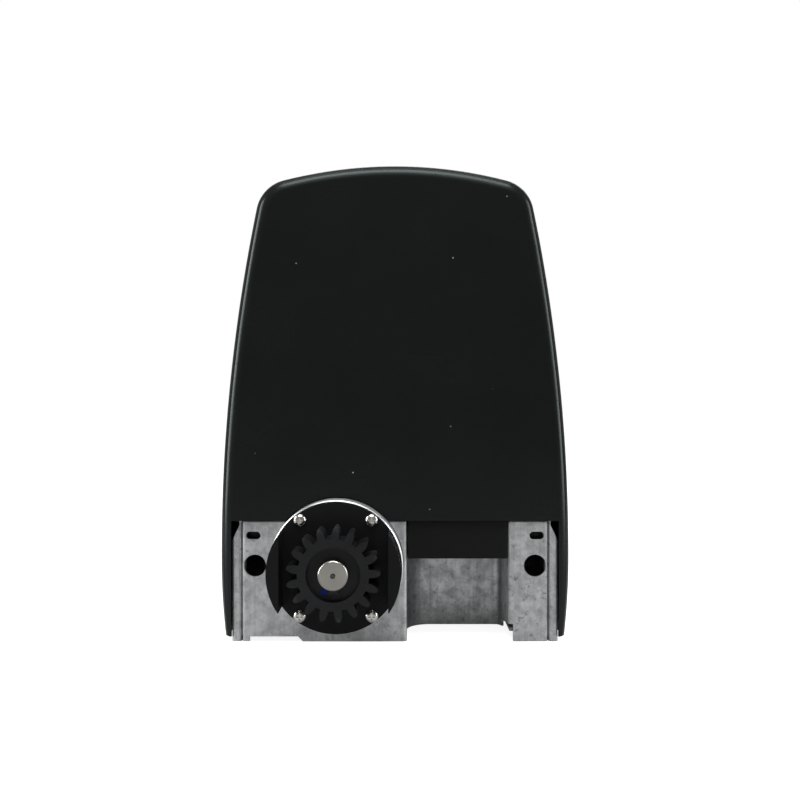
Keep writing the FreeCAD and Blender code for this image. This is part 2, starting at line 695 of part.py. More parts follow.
def gearbox_bearings():
    node("front_bearing", tube("front_ring", "Y", AXIS, "boss_y + 8", "boss_y + 24",
                               "seat_radius + 16", "seat_radius + running"))
    node("rear_bearing", tube("rear_ring", "Y", AXIS, "lid_y + 4", "lid_y + 4 + bearing_wide",
                                 "rear_bearing", "rear_journal + running"))
    node("oil_seal", turned("OilSeal", "Y", AXIS, [
        ("boss_y + 0.5", "seat_radius + running"), ("boss_y + 2", "seat_radius + 1"),
        ("boss_y + 0.5", "seat_radius + 3"), ("boss_y + 0.5", "seat_radius + 10.5"),
        ("boss_y + 8", "seat_radius + 10.5"), ("boss_y + 8", "seat_radius + running")]))
    node("worm_foot_bearing", tube("worm_foot_ring", "Z", WORM, "tunnel_foot + 6", "tunnel_foot + 18",
                                      "tunnel_bore", "worm_journal + running"))
    node("worm_head_bearing", tube("worm_head_ring", "Z", WORM, "flange_top - 20", "flange_top - 8",
                                      "tunnel_bore", "motor_shaft + running"))
    node("worm_plug", rod("plug", "Z", WORM, "tunnel_foot", "tunnel_foot + 5", "tunnel_bore"))


def gearbox_fasteners():
    case = fastener("case_bolt", "Z", ("pan_foot - 4.5", "pan_foot", "7"), ("pan_foot", "pan_top + 9", "4"))
    copies("gearbox_bolts", case, [(value(x), value(y), 0) for x, y in CASE_BOLTS])
    lid = fastener("lid_bolt", "Y", ("0", "4", "lid_screw_head"), ("0 - 16", "0", "lid_screw"))
    copies("lid_screws", lid, [(value(x), value("lid_y + 6"), value(z)) for x, z in LID_SCREWS])
    motor = fastener("motor_bolt", "Z", ("0", "5", "4.2"), ("0 - 12", "0", "2.5"))
    copies("motor_screws", motor, [(value(x), value(y), value("motor_floor")) for x, y in MOTOR_SCREWS])


# ---------------------------------------------------------------- gears

def involute_wire(teeth, module, addendum, dedendum, play, turn, height):
    """The outline of a spur gear: an arc through three points of each involute flank, and tip and root arcs."""
    pitch, pressure = teeth * module / 2, math.radians(20)
    base, tip, root = pitch * math.cos(pressure), pitch + addendum, pitch - dedendum

    def flank_angle(radius):
        roll = math.sqrt(max((radius / base) ** 2 - 1, 0))
        return roll - math.atan(roll)

    half = math.pi / (2 * teeth) - play / (2 * pitch) + flank_angle(pitch)
    start = max(base, root)

    def point(radius, angle):
        return V(radius * math.cos(angle), radius * math.sin(angle), height)

    edges = []
    for tooth in range(teeth):
        middle = 2 * math.pi * tooth / teeth + math.radians(turn)
        sides = []
        for side in (-1, 1):
            flank = [point(radius, middle + side * (half - flank_angle(radius)))
                     for radius in (start, (start + tip) / 2, tip)]
            edges.append(Part.Arc(*flank).toShape())
            if root < base:
                foot = point(root, middle + side * (half - flank_angle(start) + 0.008))
                edges.append(Part.makeLine(foot, flank[0]))
                flank.insert(0, foot)
            sides.append(flank)
        edges.append(Part.Arc(sides[0][-1], point(tip, middle), sides[1][-1]).toShape())
        gap = middle + math.pi / teeth
        following = point(root, 2 * gap - math.atan2(sides[1][0].y, sides[1][0].x))
        edges.append(Part.Arc(sides[1][0], point(root, gap), following).toShape())
    return Part.Wire(Part.__sortEdges__(edges))


def pinion():
    """The rack pinion, with a turned recess in its face, bored and keyed."""
    doc.recompute()
    module = value("pinion_module")
    wire = involute_wire(int(value("pinion_teeth")), module, module, 1.25 * module, 0.1 * module,
                         value("pinion_turn"), 0)
    blank = Part.Face(wire).extrude(V(0, 0, value("pinion_wide")))
    turn = FreeCAD.Rotation(V(1, 0, 0), -90)
    blank = blank.transformed(FreeCAD.Placement(
        V(value("axis_x"), value("front"), value("axis_z")), turn).toMatrix())
    teeth = doc.addObject("Part::Feature", "pinion_teeth_blank")
    teeth.Shape = blank
    recess = rod("pinion_face_recess", "Y", AXIS, "front - 1", "front + pinion_recess_deep", "pinion_recess")
    bore = rod("pinion_bore", "Y", AXIS, "front - 1", "pinion_back + 1", "shaft_radius")
    keyway = box("pinion_keyway", ("axis_x - key_wide / 2", "axis_x + key_wide / 2"), ("front - 1", "pinion_back + 1"),
                 ("axis_z - shaft_radius - key_high / 2 - 0.2", "axis_z"))
    return node("pinion", cut("pinion_bored", teeth, recess, bore, keyway))


def worm_wheel():
    """The bronze wheel: skewed teeth to suit the worm, and pockets for the clutch dog's claws."""
    doc.recompute()
    module, wide, pitch = value("worm_module"), value("wheel_wide"), value("wheel_pitch")
    lead = math.degrees(math.atan(module / (2 * value("worm_pitch"))))
    twist = math.degrees(wide * math.tan(math.radians(lead)) / pitch)
    wires = [involute_wire(int(value("wheel_teeth")), module, module * 0.9, module * 1.2, value("tooth_play"),
                           sign * twist / 2, height) for sign, height in ((-1, 0), (1, wide))]
    blank = Part.makeLoft(wires, True, True)
    blank = blank.transformed(FreeCAD.Placement(
        V(value("axis_x"), value("wheel_front"), value("axis_z")), FreeCAD.Rotation(V(1, 0, 0), -90)).toMatrix())
    teeth = doc.addObject("Part::Feature", "wheel_teeth_blank")
    teeth.Shape = blank
    bore = rod("wheel_bore", "Y", AXIS, "wheel_front - 1", "wheel_back + 1", "wheel_seat")
    pockets = [claw(f"claw_pocket_{number}", number, "wheel_back - 5.5", "wheel_back + 1", "0.5")
               for number in range(4)]
    return node("worm_wheel", cut("wheel_cut", teeth, bore, *pockets))


def claw(name, number, low, high, spare):
    """One claw of the dog clutch, or with some spare its pocket."""
    piece = doc.addObject("Part::Box", name)
    bind(piece, Length=f"7 + 2 * {spare}", Width=f"({high}) - ({low})", Height=f"9 + 2 * {spare}")
    angle = math.radians(45 + 90 * number)
    piece.Placement = FreeCAD.Placement(V(), FreeCAD.Rotation(V(0, 1, 0), 45 + 90 * number))
    reach = f"(wheel_seat + 2.5 - {spare})"
    across = f"(4.5 + {spare})"
    bind(piece, Placement__Base__x=f"axis_x + {math.cos(angle)} * {reach} - {math.sin(angle)} * {across}",
         Placement__Base__y=low,
         Placement__Base__z=f"axis_z - {math.sin(angle)} * {reach} - {math.cos(angle)} * {across}")
    return piece


def worm():
    """Worm and motor shaft in one piece, with a true helical thread."""
    shaft = turned("WormShaft", "Z", WORM, [
        ("tunnel_foot + 6", "0"), ("tunnel_foot + 6", "worm_journal - 0.5"), ("tunnel_foot + 6.5", "worm_journal"),
        ("tunnel_foot + 18", "worm_journal"), ("tunnel_foot + 18", "worm_root"), ("flange_top - 20", "worm_root"),
        ("flange_top - 20", "motor_shaft"), ("motor_top + 12", "motor_shaft"), ("motor_top + 12", "0")])
    doc.recompute()
    module, pitch, root = value("worm_module"), value("worm_pitch"), value("worm_root")
    slope, half = math.tan(math.radians(20)), math.pi * module / 4 - value("tooth_play") / 4
    tip = pitch + module * 0.9
    section = [(root - 0.3, half + (pitch - root) * slope), (tip, half - (tip - pitch) * slope)]
    corners = [V(radius, 0, side * high) for side, pair in ((-1, section), (1, section[::-1])) for radius, high in pair]
    foot = value("axis_z") - value("worm_long") / 2
    helix = Part.makeHelix(math.pi * module, value("worm_long"), root)
    thread = Part.Wire(helix.Edges).makePipeShell([Part.makePolygon([*corners, corners[0]])], True, True)
    # The wheel has a tooth level with its axis, so the thread has to pass half a pitch away from there.
    thread.rotate(V(), V(0, 0, 1), -180 * value("worm_long") / (math.pi * module))
    thread.translate(V(0, value("worm_y"), foot))
    piece = doc.addObject("Part::Feature", "worm_thread")
    piece.Shape = thread
    return node("worm_shaft", fuse("worm_whole", shaft, piece))


# ---------------------------------------------------------------- output shaft and clutch

def output_shaft():
    shaft = turned("OutputShaft", "Y", AXIS, [
        ("tip", "2.2"), ("tip", "shaft_radius - 0.6"), ("tip + 0.6", "shaft_radius"), ("pinion_back", "shaft_radius"),
        ("pinion_back", "seat_radius"), ("boss_y + 24", "seat_radius"), ("boss_y + 24", "wheel_seat + 3"),
        ("wheel_front", "wheel_seat + 3"), ("wheel_front", "wheel_seat"), ("lid_y + 3.5", "wheel_seat"),
        ("lid_y + 3.5", "rear_journal"), ("lid_y + 3.5 + bearing_wide", "rear_journal"),
        ("lid_y + 3.5 + bearing_wide", "rod_radius + running"), ("wheel_back - 6", "rod_radius + running"),
        ("wheel_back - 6", "0"), ("tip + 6", "0"), ("tip + 5", "2.2")])
    keyway = box("shaft_keyway", ("axis_x - key_wide / 2", "axis_x + key_wide / 2"),
                 ("front + 1.5", "pinion_back - 1"), ("axis_z - shaft_radius - 1", "axis_z - shaft_radius + key_high / 2"))
    slot_way = box("pin_slot", ("axis_x - wheel_seat - 5", "axis_x + wheel_seat + 5"),
                   ("dog_y + 1", "dog_y + 8 + dog_travel"), ("axis_z - 3 - running", "axis_z + 3 + running"))
    node("output_shaft", cut("shaft_cut", shaft, keyway, slot_way))
    node("pinion_key", box("key", ("axis_x - key_wide / 2", "axis_x + key_wide / 2"), ("front + 1.5", "pinion_back - 1"),
                           ("axis_z - shaft_radius - key_high / 2", "axis_z - shaft_radius + key_high / 2")))


def clutch():
    ring = tube("dog_ring", "Y", AXIS, "dog_y", "dog_y + 8", "dog_radius", "wheel_seat + running")
    claws = [claw(f"claw_{number}", number, "dog_y - 5", "dog_y + 1", "0") for number in range(4)]
    bore = rod("dog_pin_bore", "X", ("dog_y + 4.2", "axis_z"), "axis_x - dog_radius - 1", "axis_x + dog_radius + 1", "3")
    node("clutch_dog", cut("dog", fuse("dog_solid", ring, *claws), bore))
    node("clutch_pin", rod("cross_pin", "X", ("dog_y + 4.2", "axis_z"), "axis_x - dog_radius + 1",
                           "axis_x + dog_radius - 1", "3"))
    stem = turned("ReleaseRod", "Y", AXIS, [
        ("dog_y - 2", "0"), ("dog_y - 2", "rod_radius"), ("face + nose_end + 2", "rod_radius"),
        ("face + nose_end + 2", "8.5"), ("face + nose_end + 6", "8.5"), ("face + nose_end + 6", "0")])
    bore = rod("rod_pin_bore", "X", ("dog_y + 4.2", "axis_z"), "axis_x - 9", "axis_x + 9", "3")
    node("release_rod", cut("stem", stem, bore))


def release_lever():
    """The hub turns on the lid's nose and its cam draws the rod; the arm ends in a grip."""
    hub = turned("LeverHub", "Y", AXIS, [
        ("face + nose_end - 10", "nose_radius + running"), ("face + nose_end + 1", "nose_radius + running"),
        ("face + nose_end + 1", "9"), ("hub_y - 3", "9"), ("hub_y - 3", "0"), ("hub_y", "0"),
        ("hub_y", "hub_radius - 1"), ("hub_y - 1", "hub_radius"), ("face + nose_end - 10", "hub_radius")])
    arm = box("lever_arm", ("axis_x - lever_wide / 2", "axis_x + lever_wide / 2"), ("hub_y - 8", "hub_y"),
              ("axis_z + nose_radius", "axis_z + lever_long"))
    end = rod("lever_end", "Y", ("axis_x", "axis_z + lever_long"), "hub_y - 8", "hub_y", "lever_wide / 2")
    grip = rod("lever_grip", "Y", ("axis_x", "axis_z + lever_long"), "hub_y - 1", "hub_y + 10", "6")
    return node("release_lever", fuse("lever", hub, arm, end, grip))


def output_side():
    """The round guard behind the pinion and its screws."""
    plate = turned("GuardPlate", "Y", AXIS, [
        ("guard_y", "guard_bore"), ("guard_y", "guard_radius - 0.6"), ("guard_y + 0.6", "guard_radius"),
        ("boss_y", "guard_radius"), ("boss_y", "guard_bore")])
    round_bar = rod("guard_round", "Y", AXIS, "face - guard_wall_top", "boss_y", "guard_radius - 1")
    walls = []
    for side, low, high in (("left", "axis_x - guard_radius - 1", "axis_x - guard_chord"),
                            ("right", "axis_x + guard_chord", "axis_x + guard_radius + 1")):
        block = box(f"guard_{side}_block", (low, high), ("face - guard_wall_top - 1", "boss_y"),
                    ("axis_z - guard_wall_half", "axis_z + guard_wall_half"))
        wall = doc.addObject("Part::MultiCommon", f"guard_{side}_wall")
        wall.Shapes = [round_bar, block]
        walls.append(wall)
    holes = [rod(f"guard_hole_{number}", "Y", (f"axis_x + ({i}) * guard_screw_x", f"axis_z + ({j}) * guard_screw_z"),
                 "guard_y - 1", "boss_y + 1", "3.2") for number, (i, j) in enumerate(CORNERS)]
    node("pinion_guard", cut("guard", fuse("guard_solid", plate, *walls), *holes))
    screw = fastener("guard_screw", "Y", ("0 - screw_head_high", "0", "screw_head"), ("0", "16", "3"))
    copies("guard_screws", screw, [(value(f"axis_x + ({i}) * guard_screw_x"), value("guard_y"),
                                    value(f"axis_z + ({j}) * guard_screw_z")) for i, j in CORNERS])


def limit_sensor():
    """The sensor housing fills the top of the recess and stands on two pillars from its back wall."""
    body = new_body("SensorHousing")
    left, right = "recess_left + gap", "recess_right - gap"
    pad(body, "case", "Z", rectangle((left, right), ("face + 0.5", "face + 40")), "sensor_foot", "plate_top - gap")
    doc.recompute()
    back = value("face + 40")
    round_edges(body, "case_round", "Fillet", "2", lambda edge: abs(edge.BoundBox.XLength) < 0.01
                and abs(edge.BoundBox.YLength) < 0.01 and abs(edge.CenterOfMass.y - back) > 1)
    for number, x in enumerate(SENSOR_SCREWS):
        pad(body, f"pillar_{number}", "Y", disc(x, "sensor_foot + 16", "5"), "face + 39", "face + recess_deep")
    doc.recompute()
    for number, x in enumerate(SENSOR_SCREWS):
        pocket(body, f"thread_{number}", "Y", disc(x, "sensor_foot + 16", "2"), "face + recess_deep - 12",
               "face + recess_deep + 1")
    node("sensor_housing", body)
    screw = fastener("sensor_screw", "Y", ("0", "2.6", "4"), ("0 - sheet - 10", "0", "2"))
    copies("sensor_screws", screw, [(value(x), value("face + recess_deep + sheet"), value("sensor_foot + 16"))
                                    for x in SENSOR_SCREWS])


# ---------------------------------------------------------------- motor

def motor():
    frame = new_body("MotorFrame")
    base = sketch(frame, "frame_profile", "Y", (*WORM, "0"))
    draw(base, [("tunnel_bore + 2", "flange_top"), ("motor_seat", "flange_top"), ("motor_seat", "motor_floor"),
                ("shell", "motor_floor"), ("shell", "motor_top"),
                ("motor_radius", "motor_top"), ("motor_radius", "motor_floor"),
                ("tunnel_bore + 2", "motor_floor")])
    barrel = frame.newObject("PartDesign::Revolution", "barrel")
    barrel.Profile = base
    barrel.ReferenceAxis = (base, ["V_Axis"])
    barrel.Angle = 360
    fin_face = sketch(frame, "fin_section", "Z", (*WORM, "flange_top + 14"))
    draw(fin_face, rectangle(("shell - 1", "shell + fin_high"), ("0 - fin_wide / 2", "fin_wide / 2")))
    fin = frame.newObject("PartDesign::Pad", "fin")
    fin.Profile = fin_face
    bind(fin, Length="motor_high - 22")
    doc.recompute()
    ring = frame.newObject("PartDesign::PolarPattern", "fin_ring")
    ring.Originals = [fin]
    ring.Axis = (base, ["V_Axis"])
    ring.Angle = 360
    bind(ring, Occurrences="fins")
    frame.Tip = ring
    holes = [rod(f"motor_thread_{number}", "Z", place, "flange_top - 1", "motor_floor + 1", "2.7")
             for number, place in enumerate(MOTOR_SCREWS)]
    holes += [rod(f"cap_thread_{number}", "Z", place, "motor_top - 12", "motor_top + 1", "1.5")
              for number, place in enumerate(CAP_SCREWS)]
    node("motor_frame", cut("motor_frame_cut", frame, *holes))
    node("stator_core", tube("stator", "Z", WORM, "stack_foot", "stack_foot + stack_high", "motor_radius",
                             "stator_bore"))
    coils = [tube(f"coil_{number}", "Z", WORM, low, f"{low} + coil_high", "motor_radius - 5", "stator_bore + 2")
             for number, low in enumerate(("stack_foot - coil_high", "stack_foot + stack_high"))]
    group = doc.addObject("Part::Compound", "coils")
    group.Links = coils
    node("stator_windings", group)
    node("rotor_core", tube("rotor", "Z", WORM, "stack_foot - 4", "stack_foot + stack_high + 4",
                            "stator_bore - air_gap", "motor_shaft"))
    cap = turned("MotorCap", "Z", WORM, [
        ("motor_top", "motor_radius - 4"), ("motor_top + 3", "motor_radius - 6"), ("motor_top + 4", "tunnel_bore + 3"),
        ("motor_top - 1", "tunnel_bore + 3"), ("motor_top - 1", "tunnel_bore"), ("motor_top + 12.5", "tunnel_bore"),
        ("motor_top + 12.5", "0"), ("motor_top + 16", "0"), ("motor_top + 16", "tunnel_bore"),
        ("motor_top + 8", "motor_radius - 8"), ("motor_top + 6", "shell - 2"), ("motor_top + 4", "shell"),
        ("motor_top", "shell")])
    holes = [rod(f"cap_hole_{number}", "Z", place, "motor_top - 1", "motor_top + 20", "1.7")
             for number, place in enumerate(CAP_SCREWS)]
    node("motor_cap", cut("motor_cap_cut", cap, *holes))
    node("motor_bearing", tube("motor_ring", "Z", WORM, "motor_top", "motor_top + 12",
                                  "tunnel_bore", "motor_shaft + running"))
    screw = fastener("cap_screw", "Z", ("0", "2.6", "3"), ("0 - 14", "0", "1.5"))
    copies("motor_cap_screws", screw, [(value(x), value(y), value("motor_top + 7.2")) for x, y in CAP_SCREWS])


# ---------------------------------------------------------------- control gear

def control_gear():
    tray = new_body("BoardTray")
    pad(tray, "back", "Y", rectangle(("0 - tray_half", "tray_half"), ("tray_foot", "tray_foot + tray_high")),
        "tray_y", "tray_y + tray_wall")
    for name, x, z in (("left", ("0 - tray_half", "0 - tray_half + tray_wall"), TRAY_Z),
                       ("right", ("tray_half - tray_wall", "tray_half"), TRAY_Z),
                       ("foot", ("0 - tray_half", "tray_half"), ("tray_foot", "tray_foot + tray_wall"))):
        pad(tray, f"{name}_rim", "Y", rectangle(x, z), "tray_y + tray_wall", "tray_y + tray_wall + 12")
    for number, (x, z) in enumerate(BOARD_SCREWS):
        pad(tray, f"post_{number}", "Y", disc(x, z, "4"), "tray_y + tray_wall - 0.5", "board_y")
    # Two legs carry the tray from the street flange of the base pan.
    for sign in (-1, 1):
        pad(tray, f"leg_{sign + 1}", "Y", rectangle((f"{sign} * 84 - 12", f"{sign} * 84 + 12"),
            ("pan_top + 6", "tray_foot + 5")), "tray_y", "tray_y + tray_wall")
        pad(tray, f"leg_foot_{sign + 1}", "Y", rectangle((f"{sign} * 84 - 12", f"{sign} * 84 + 12"),
            ("pan_top + 6", "pan_top + 24")), "tray_y + tray_wall", "pan_end - pan_sheet")
    node("board_tray", tray)

    board = new_body("ControlBoard")
    pad(board, "board", "Y", rectangle(("0 - board_half", "board_half"), BOARD_Z), "board_y", "board_y + board_thick")
    doc.recompute()
    for number, (x, z) in enumerate(BOARD_SCREWS):
        pocket(board, f"board_hole_{number}", "Y", disc(x, z, "2.2"), "board_y - 1", "board_y + board_thick + 1")
    node("control_board", board)
    screw = fastener("board_screw", "Y", ("0", "2.2", "3.6"), ("0 - board_thick", "0", "2.1"))
    copies("board_screws", screw, [(value(x), value("board_y + board_thick"), value(z)) for x, z in BOARD_SCREWS])

    face = "board_y + board_thick"
    node("terminal_blocks", joined("terminals", [
        box(f"terminal_{number}", (f"0 - 70 + {24 * number}", f"0 - 70 + {24 * number} + 20"),
            (face, f"{face} + 11"), ("board_foot + 6", "board_foot + 18")) for number in range(6)]))
    node("board_relays", joined("relays", [
        box(f"relay_{number}", (f"20 + {22 * number}", f"20 + {22 * number} + 16"), (face, f"{face} + 13"),
            ("board_foot + 44", "board_foot + 62")) for number in range(3)]))
    node("transformer", fuse("transformer_whole",
         box("transformer_core", ("transformer_x - 23", "transformer_x + 23"), (face, f"{face} + 14"), ("board_foot + 60", "board_foot + 98")),
         box("transformer_coil", ("transformer_x - 17", "transformer_x + 17"), (face, f"{face} + 17"), ("board_foot + 54", "board_foot + 104"))))
    node("radio_module", box("radio", ("50", "80"), (face, f"{face} + 6"), ("board_foot + 84", "board_foot + 110")))

    clip = tube("clip_ring", "Z", ("capacitor_x", "capacitor_y"), "capacitor_foot + 30", "capacitor_foot + 44",
                "capacitor_radius + 2", "capacitor_radius")
    foot = box("clip_foot", ("capacitor_x - 8", "capacitor_x + 8"), ("capacitor_y + capacitor_radius + 1", "tray_y"),
               ("capacitor_foot + 30", "capacitor_foot + 44"))
    node("capacitor_clip", fuse("clip", clip, foot))
    node("motor_capacitor", turned("Capacitor", "Z", ("capacitor_x", "capacitor_y"), [
        ("capacitor_foot", "0"), ("capacitor_foot", "capacitor_radius - 1"), ("capacitor_foot + 1", "capacitor_radius"),
        ("capacitor_foot + capacitor_high - 2", "capacitor_radius"),
        ("capacitor_foot + capacitor_high", "capacitor_radius - 2"), ("capacitor_foot + capacitor_high", "5"),
        ("capacitor_foot + capacitor_high + 8", "4"), ("capacitor_foot + capacitor_high + 8", "0")]))


def joined(name, pieces):
    group = doc.addObject("Part::Compound", name)
    group.Links = pieces
    return group


# ---------------------------------------------------------------- cover, release door and lock

def cover_outline(body, name, inset, y, foot):
    """The hood seen from the gate: skirt, side, corner and crown arcs, each tangent to the next."""
    piece = sketch(body, name, "Y", ("0", y, "0"))
    half, top, waist = f"(cover_half - {inset})", f"(cover_top - {inset})", "cover_waist"
    radii = {"skirt": f"(skirt_radius - {inset})", "side": f"(side_radius - {inset})",
             "corner": f"(corner_radius - {inset})", "crown": f"(crown_radius - {inset})"}
    skirt, side, corner, crown = (value(text) for text in radii.values())
    crown_at = V(0, value(top) - crown, 0)
    side_at = V(value(half) - side, value(waist), 0)
    skirt_at = V(value(half) - skirt, value(waist), 0)
    link = side_at - crown_at
    apart, reach, swing = link.Length, crown - corner, side - corner
    along = (reach ** 2 - swing ** 2 + apart ** 2) / (2 * apart)
    unit = V(link).normalize()
    aside = V(-unit.y, unit.x, 0) * math.sqrt(reach ** 2 - along ** 2)
    corner_at = max((crown_at + unit * along + aside * turn for turn in (-1, 1)), key=lambda point: point.y)
    low = V(skirt_at.x + math.sqrt(skirt ** 2 - (value(foot) - skirt_at.y) ** 2), value(foot), 0)
    wide = V(value(half), value(waist), 0)
    upper = side_at + (corner_at - side_at) * (side / swing)
    crest = crown_at + (corner_at - crown_at) * (crown / reach)

    def mirror(point):
        return V(-point.x, point.y, 0)

    arcs = [(skirt_at, low, wide), (side_at, wide, upper), (corner_at, upper, crest),
            (crown_at, crest, mirror(crest)), (mirror(corner_at), mirror(crest), mirror(upper)),
            (mirror(side_at), mirror(upper), mirror(wide)), (mirror(skirt_at), mirror(wide), mirror(low))]
    for places in arcs:
        piece.addGeometry(arc(*places), False)
    piece.addGeometry(Part.LineSegment(mirror(low), low), False)
    for number, radius in enumerate(("skirt", "side", "corner", "crown", "corner", "side", "skirt")):
        constrain(piece, "Radius", number, size=radii[radius])
    for number in range(8):
        constrain(piece, "Tangent" if number < 6 else "Coincident", number, 2, (number + 1) % 8, 1)
    constrain(piece, "PointOnObject", 3, 3, -2)
    constrain(piece, "DistanceY", -1, 1, 3, 3, size=f"{top} - {radii['crown']}")
    for number, sign in ((1, 1), (5, -1)):
        constrain(piece, "DistanceX", -1, 1, number, 3, size=f"{sign} * ({half} - {radii['side']})")
        constrain(piece, "DistanceY", -1, 1, number, 3, size=waist)
    constrain(piece, "DistanceY", -1, 1, 0, 2, size=waist)
    constrain(piece, "DistanceY", -1, 1, 5, 2, size=waist)
    constrain(piece, "DistanceY", -1, 1, 0, 1, size=foot)
    constrain(piece, "DistanceY", -1, 1, 6, 2, size=foot)
    return piece


def on_plane(edge, y, foot):
    """True for an edge that lies across Y at y and isn't the straight one at the foot."""
    return (all(abs(corner.Point.y - y) < 0.01 for corner in edge.Vertexes)
            and max(corner.Point.z for corner in edge.Vertexes) > foot + 1)


def hood(name, inset, low, high, foot):
    """A solid of the hood's outer or inner form."""
    body = new_body(name)
    outline = cover_outline(body, f"{name}_outline", inset, high, foot)
    block = body.newObject("PartDesign::Pad", f"{name}_block")
    block.Profile = outline
    bind(block, Length=f"({high}) - ({low})")
    for side, place, size in (("gate", low, "back_round"), ("street", high, "street_round")):
        round_edges(body, f"{name}_{side}_round", "Fillet", f"{size} - {inset}",
                    lambda edge, y=value(place): on_plane(edge, y, value(foot)))
    return body


def cover_shell():
    outer = hood("HoodOutside", "0", "face - panel_proud", "street", "cover_foot")
    inner = hood("HoodInside", "cover_wall", "face - panel_proud + cover_wall", "street - cover_wall", "cover_foot - 5")
    shell = cut("hood_shell", outer, inner)
    window = box("gate_window", ("0 - chassis_half - 0.4", "chassis_half + 0.4"),
                 ("face - panel_proud - 1", "face + back_round"), ("cover_foot - 1", "panel_foot"))
    arch = rod("boss_notch", "Y", AXIS, "face - panel_proud - 1", "face + back_round", "boss_radius + 1")
    arch_foot = box("boss_notch_foot", ("axis_x - boss_radius - 1", "axis_x + boss_radius + 1"),
                    ("face - panel_proud - 1", "face + back_round"), ("axis_z", "panel_foot"))
    slots = []
    for number, x in enumerate(("0 - cover_screw_x", "cover_screw_x")):
        slots.append(box(f"screw_slot_{number}", (f"{x} - cover_slot_half", f"{x} + cover_slot_half"),
                         ("street - cover_wall - 1", "street + 1"), ("cover_foot - 1", "cover_screw_z")))
        slots.append(rod(f"screw_round_{number}", "Y", (x, "cover_screw_z"), "street - cover_wall - 1",
                         "street + 1", "cover_slot_half"))
    doorway = box("doorway", ("door_x - door_wide / 2", "door_x + door_wide / 2"),
                  ("street - cover_wall - 1", "street + 1"), ("door_foot", "door_foot + door_high"))
    shell = cut("hood_cut", shell, window, arch, arch_foot, doorway, *slots)
    hooks = []
    for side, sign in (("left", -1), ("right", 1)):
        low, high = f"{sign} * slot_x - hook_wide / 2", f"{sign} * slot_x + hook_wide / 2"
        hooks.append(box(f"{side}_hook_root", (low, high), ("face", "face + hook_deep + cover_wall"),
                         ("panel_foot + 1", "panel_foot + 1 + cover_wall")))
        hooks.append(box(f"{side}_hook", (low, high), ("face + hook_deep", "face + hook_deep + cover_wall"),
                         ("panel_foot - hook_long", "panel_foot + 2")))
    # Two knuckles under the doorway carry the door's hinge pin.
    knuckles = [hinge_knuckle(f"cover_knuckle_{number}", x, "hinge_z - knuckle", "door_foot - 1")
                for number, x in enumerate(OUTER_KNUCKLES)]
    bore = rod("cover_pin_bore", "X", ("hinge_y", "hinge_z"), "door_x - door_wide", "door_x + door_wide", "pin_radius")
    node("cover_shell", cut("hood_bored", fuse("hood_whole", shell, *hooks, *knuckles), bore))


def hinge_knuckle(name, x, low, high, back="street - 1"):
    """A rounded block around the door's hinge line, with a web from low to high on the street face."""
    ends = (f"{x} - 6", f"{x} + 6")
    barrel = rod(f"{name}_barrel", "X", ("hinge_y", "hinge_z"), *ends, "knuckle")
    return fuse(name, barrel, box(f"{name}_web", ends, (back, "hinge_y"), (low, high)))


def release_door():
    """The flap over the release lever, hinged at its foot, with a key lock near its top."""
    body = new_body("DoorPanel")
    low, high = "door_x - door_wide / 2 + door_gap", "door_x + door_wide / 2 - door_gap"
    pad(body, "panel", "Y", rectangle((low, high), ("door_foot + door_gap", "door_foot + door_high - door_gap")),
        "street - cover_wall", "street")
    doc.recompute()
    pocket(body, "lock_bore", "Y", disc("door_x", "lock_z", "lock_radius + running"), "street - cover_wall - 1",
           "street + 1")
    knuckles = [hinge_knuckle(f"door_knuckle_{number}", x, "hinge_z", "door_foot + door_gap + 6", "street + gap")
                for number, x in enumerate(INNER_KNUCKLES)]
    knuckles += [box(f"door_web_{number}", (f"{x} - 6", f"{x} + 6"), ("street - 1", "hinge_y"),
                     ("door_foot + door_gap", "door_foot + door_gap + 6")) for number, x in enumerate(INNER_KNUCKLES)]
    bore = rod("door_pin_bore", "X", ("hinge_y", "hinge_z"), "door_x - door_wide", "door_x + door_wide",
               "pin_radius + running")
    node("release_door", cut("door", fuse("door_whole", body, *knuckles), bore))
    node("door_hinge_pin", rod("hinge_pin", "X", ("hinge_y", "hinge_z"), "door_x - 46", "door_x + 46", "pin_radius"))

    barrel = turned("LockBarrel", "Y", ("door_x", "lock_z"), [
        ("street - cover_wall - 9", "0"), ("street - cover_wall - 9", "lock_radius - 2"),
        ("street - cover_wall - 0.5", "lock_radius - 2"), ("street - cover_wall - 0.5", "lock_radius"),
        ("street + 0.2", "lock_radius"), ("street + 0.2", "lock_radius + 2"), ("street + 1.6", "lock_radius + 1.4"),
        ("street + 1.6", "0")])
    keyhole = box("keyhole", ("door_x - 0.9", "door_x + 0.9"), ("street - 6", "street + 2"), ("lock_z - 4", "lock_z + 4"))
    # The cam lies level while the door is unlocked, and a quarter turn lifts it behind the doorway's edge.
    cam = box("lock_cam", ("door_x - lock_drop - 5", "door_x"), ("street - cover_wall - 3.5", "street - cover_wall - 0.5"),
              ("lock_z - 5", "lock_z + 5"))
    node("lock_barrel", cut("lock", fuse("lock_whole", barrel, cam), keyhole))


def cover_screws():
    screw = fastener("cover_screw", "Y", ("0", "3.4", "6"), ("0 - 14", "0", "2.5"))
    copies("cover_screws", screw, [(side * value("cover_screw_x"), value("street + 0.1"), value("cover_screw_z"))
                                   for side in (-1, 1)])


def build():
    rear_plate()
    cheek("left_cheek", -1)
    cheek("right_cheek", 1)
    base_pan()
    chassis_fasteners()
    gearbox_housing()
    gearbox_lid()
    gearbox_bearings()
    gearbox_fasteners()
    pinion()
    worm_wheel()
    worm()
    output_shaft()
    clutch()
    release_lever()
    output_side()
    limit_sensor()
    motor()
    control_gear()
    cover_shell()
    release_door()
    cover_screws()


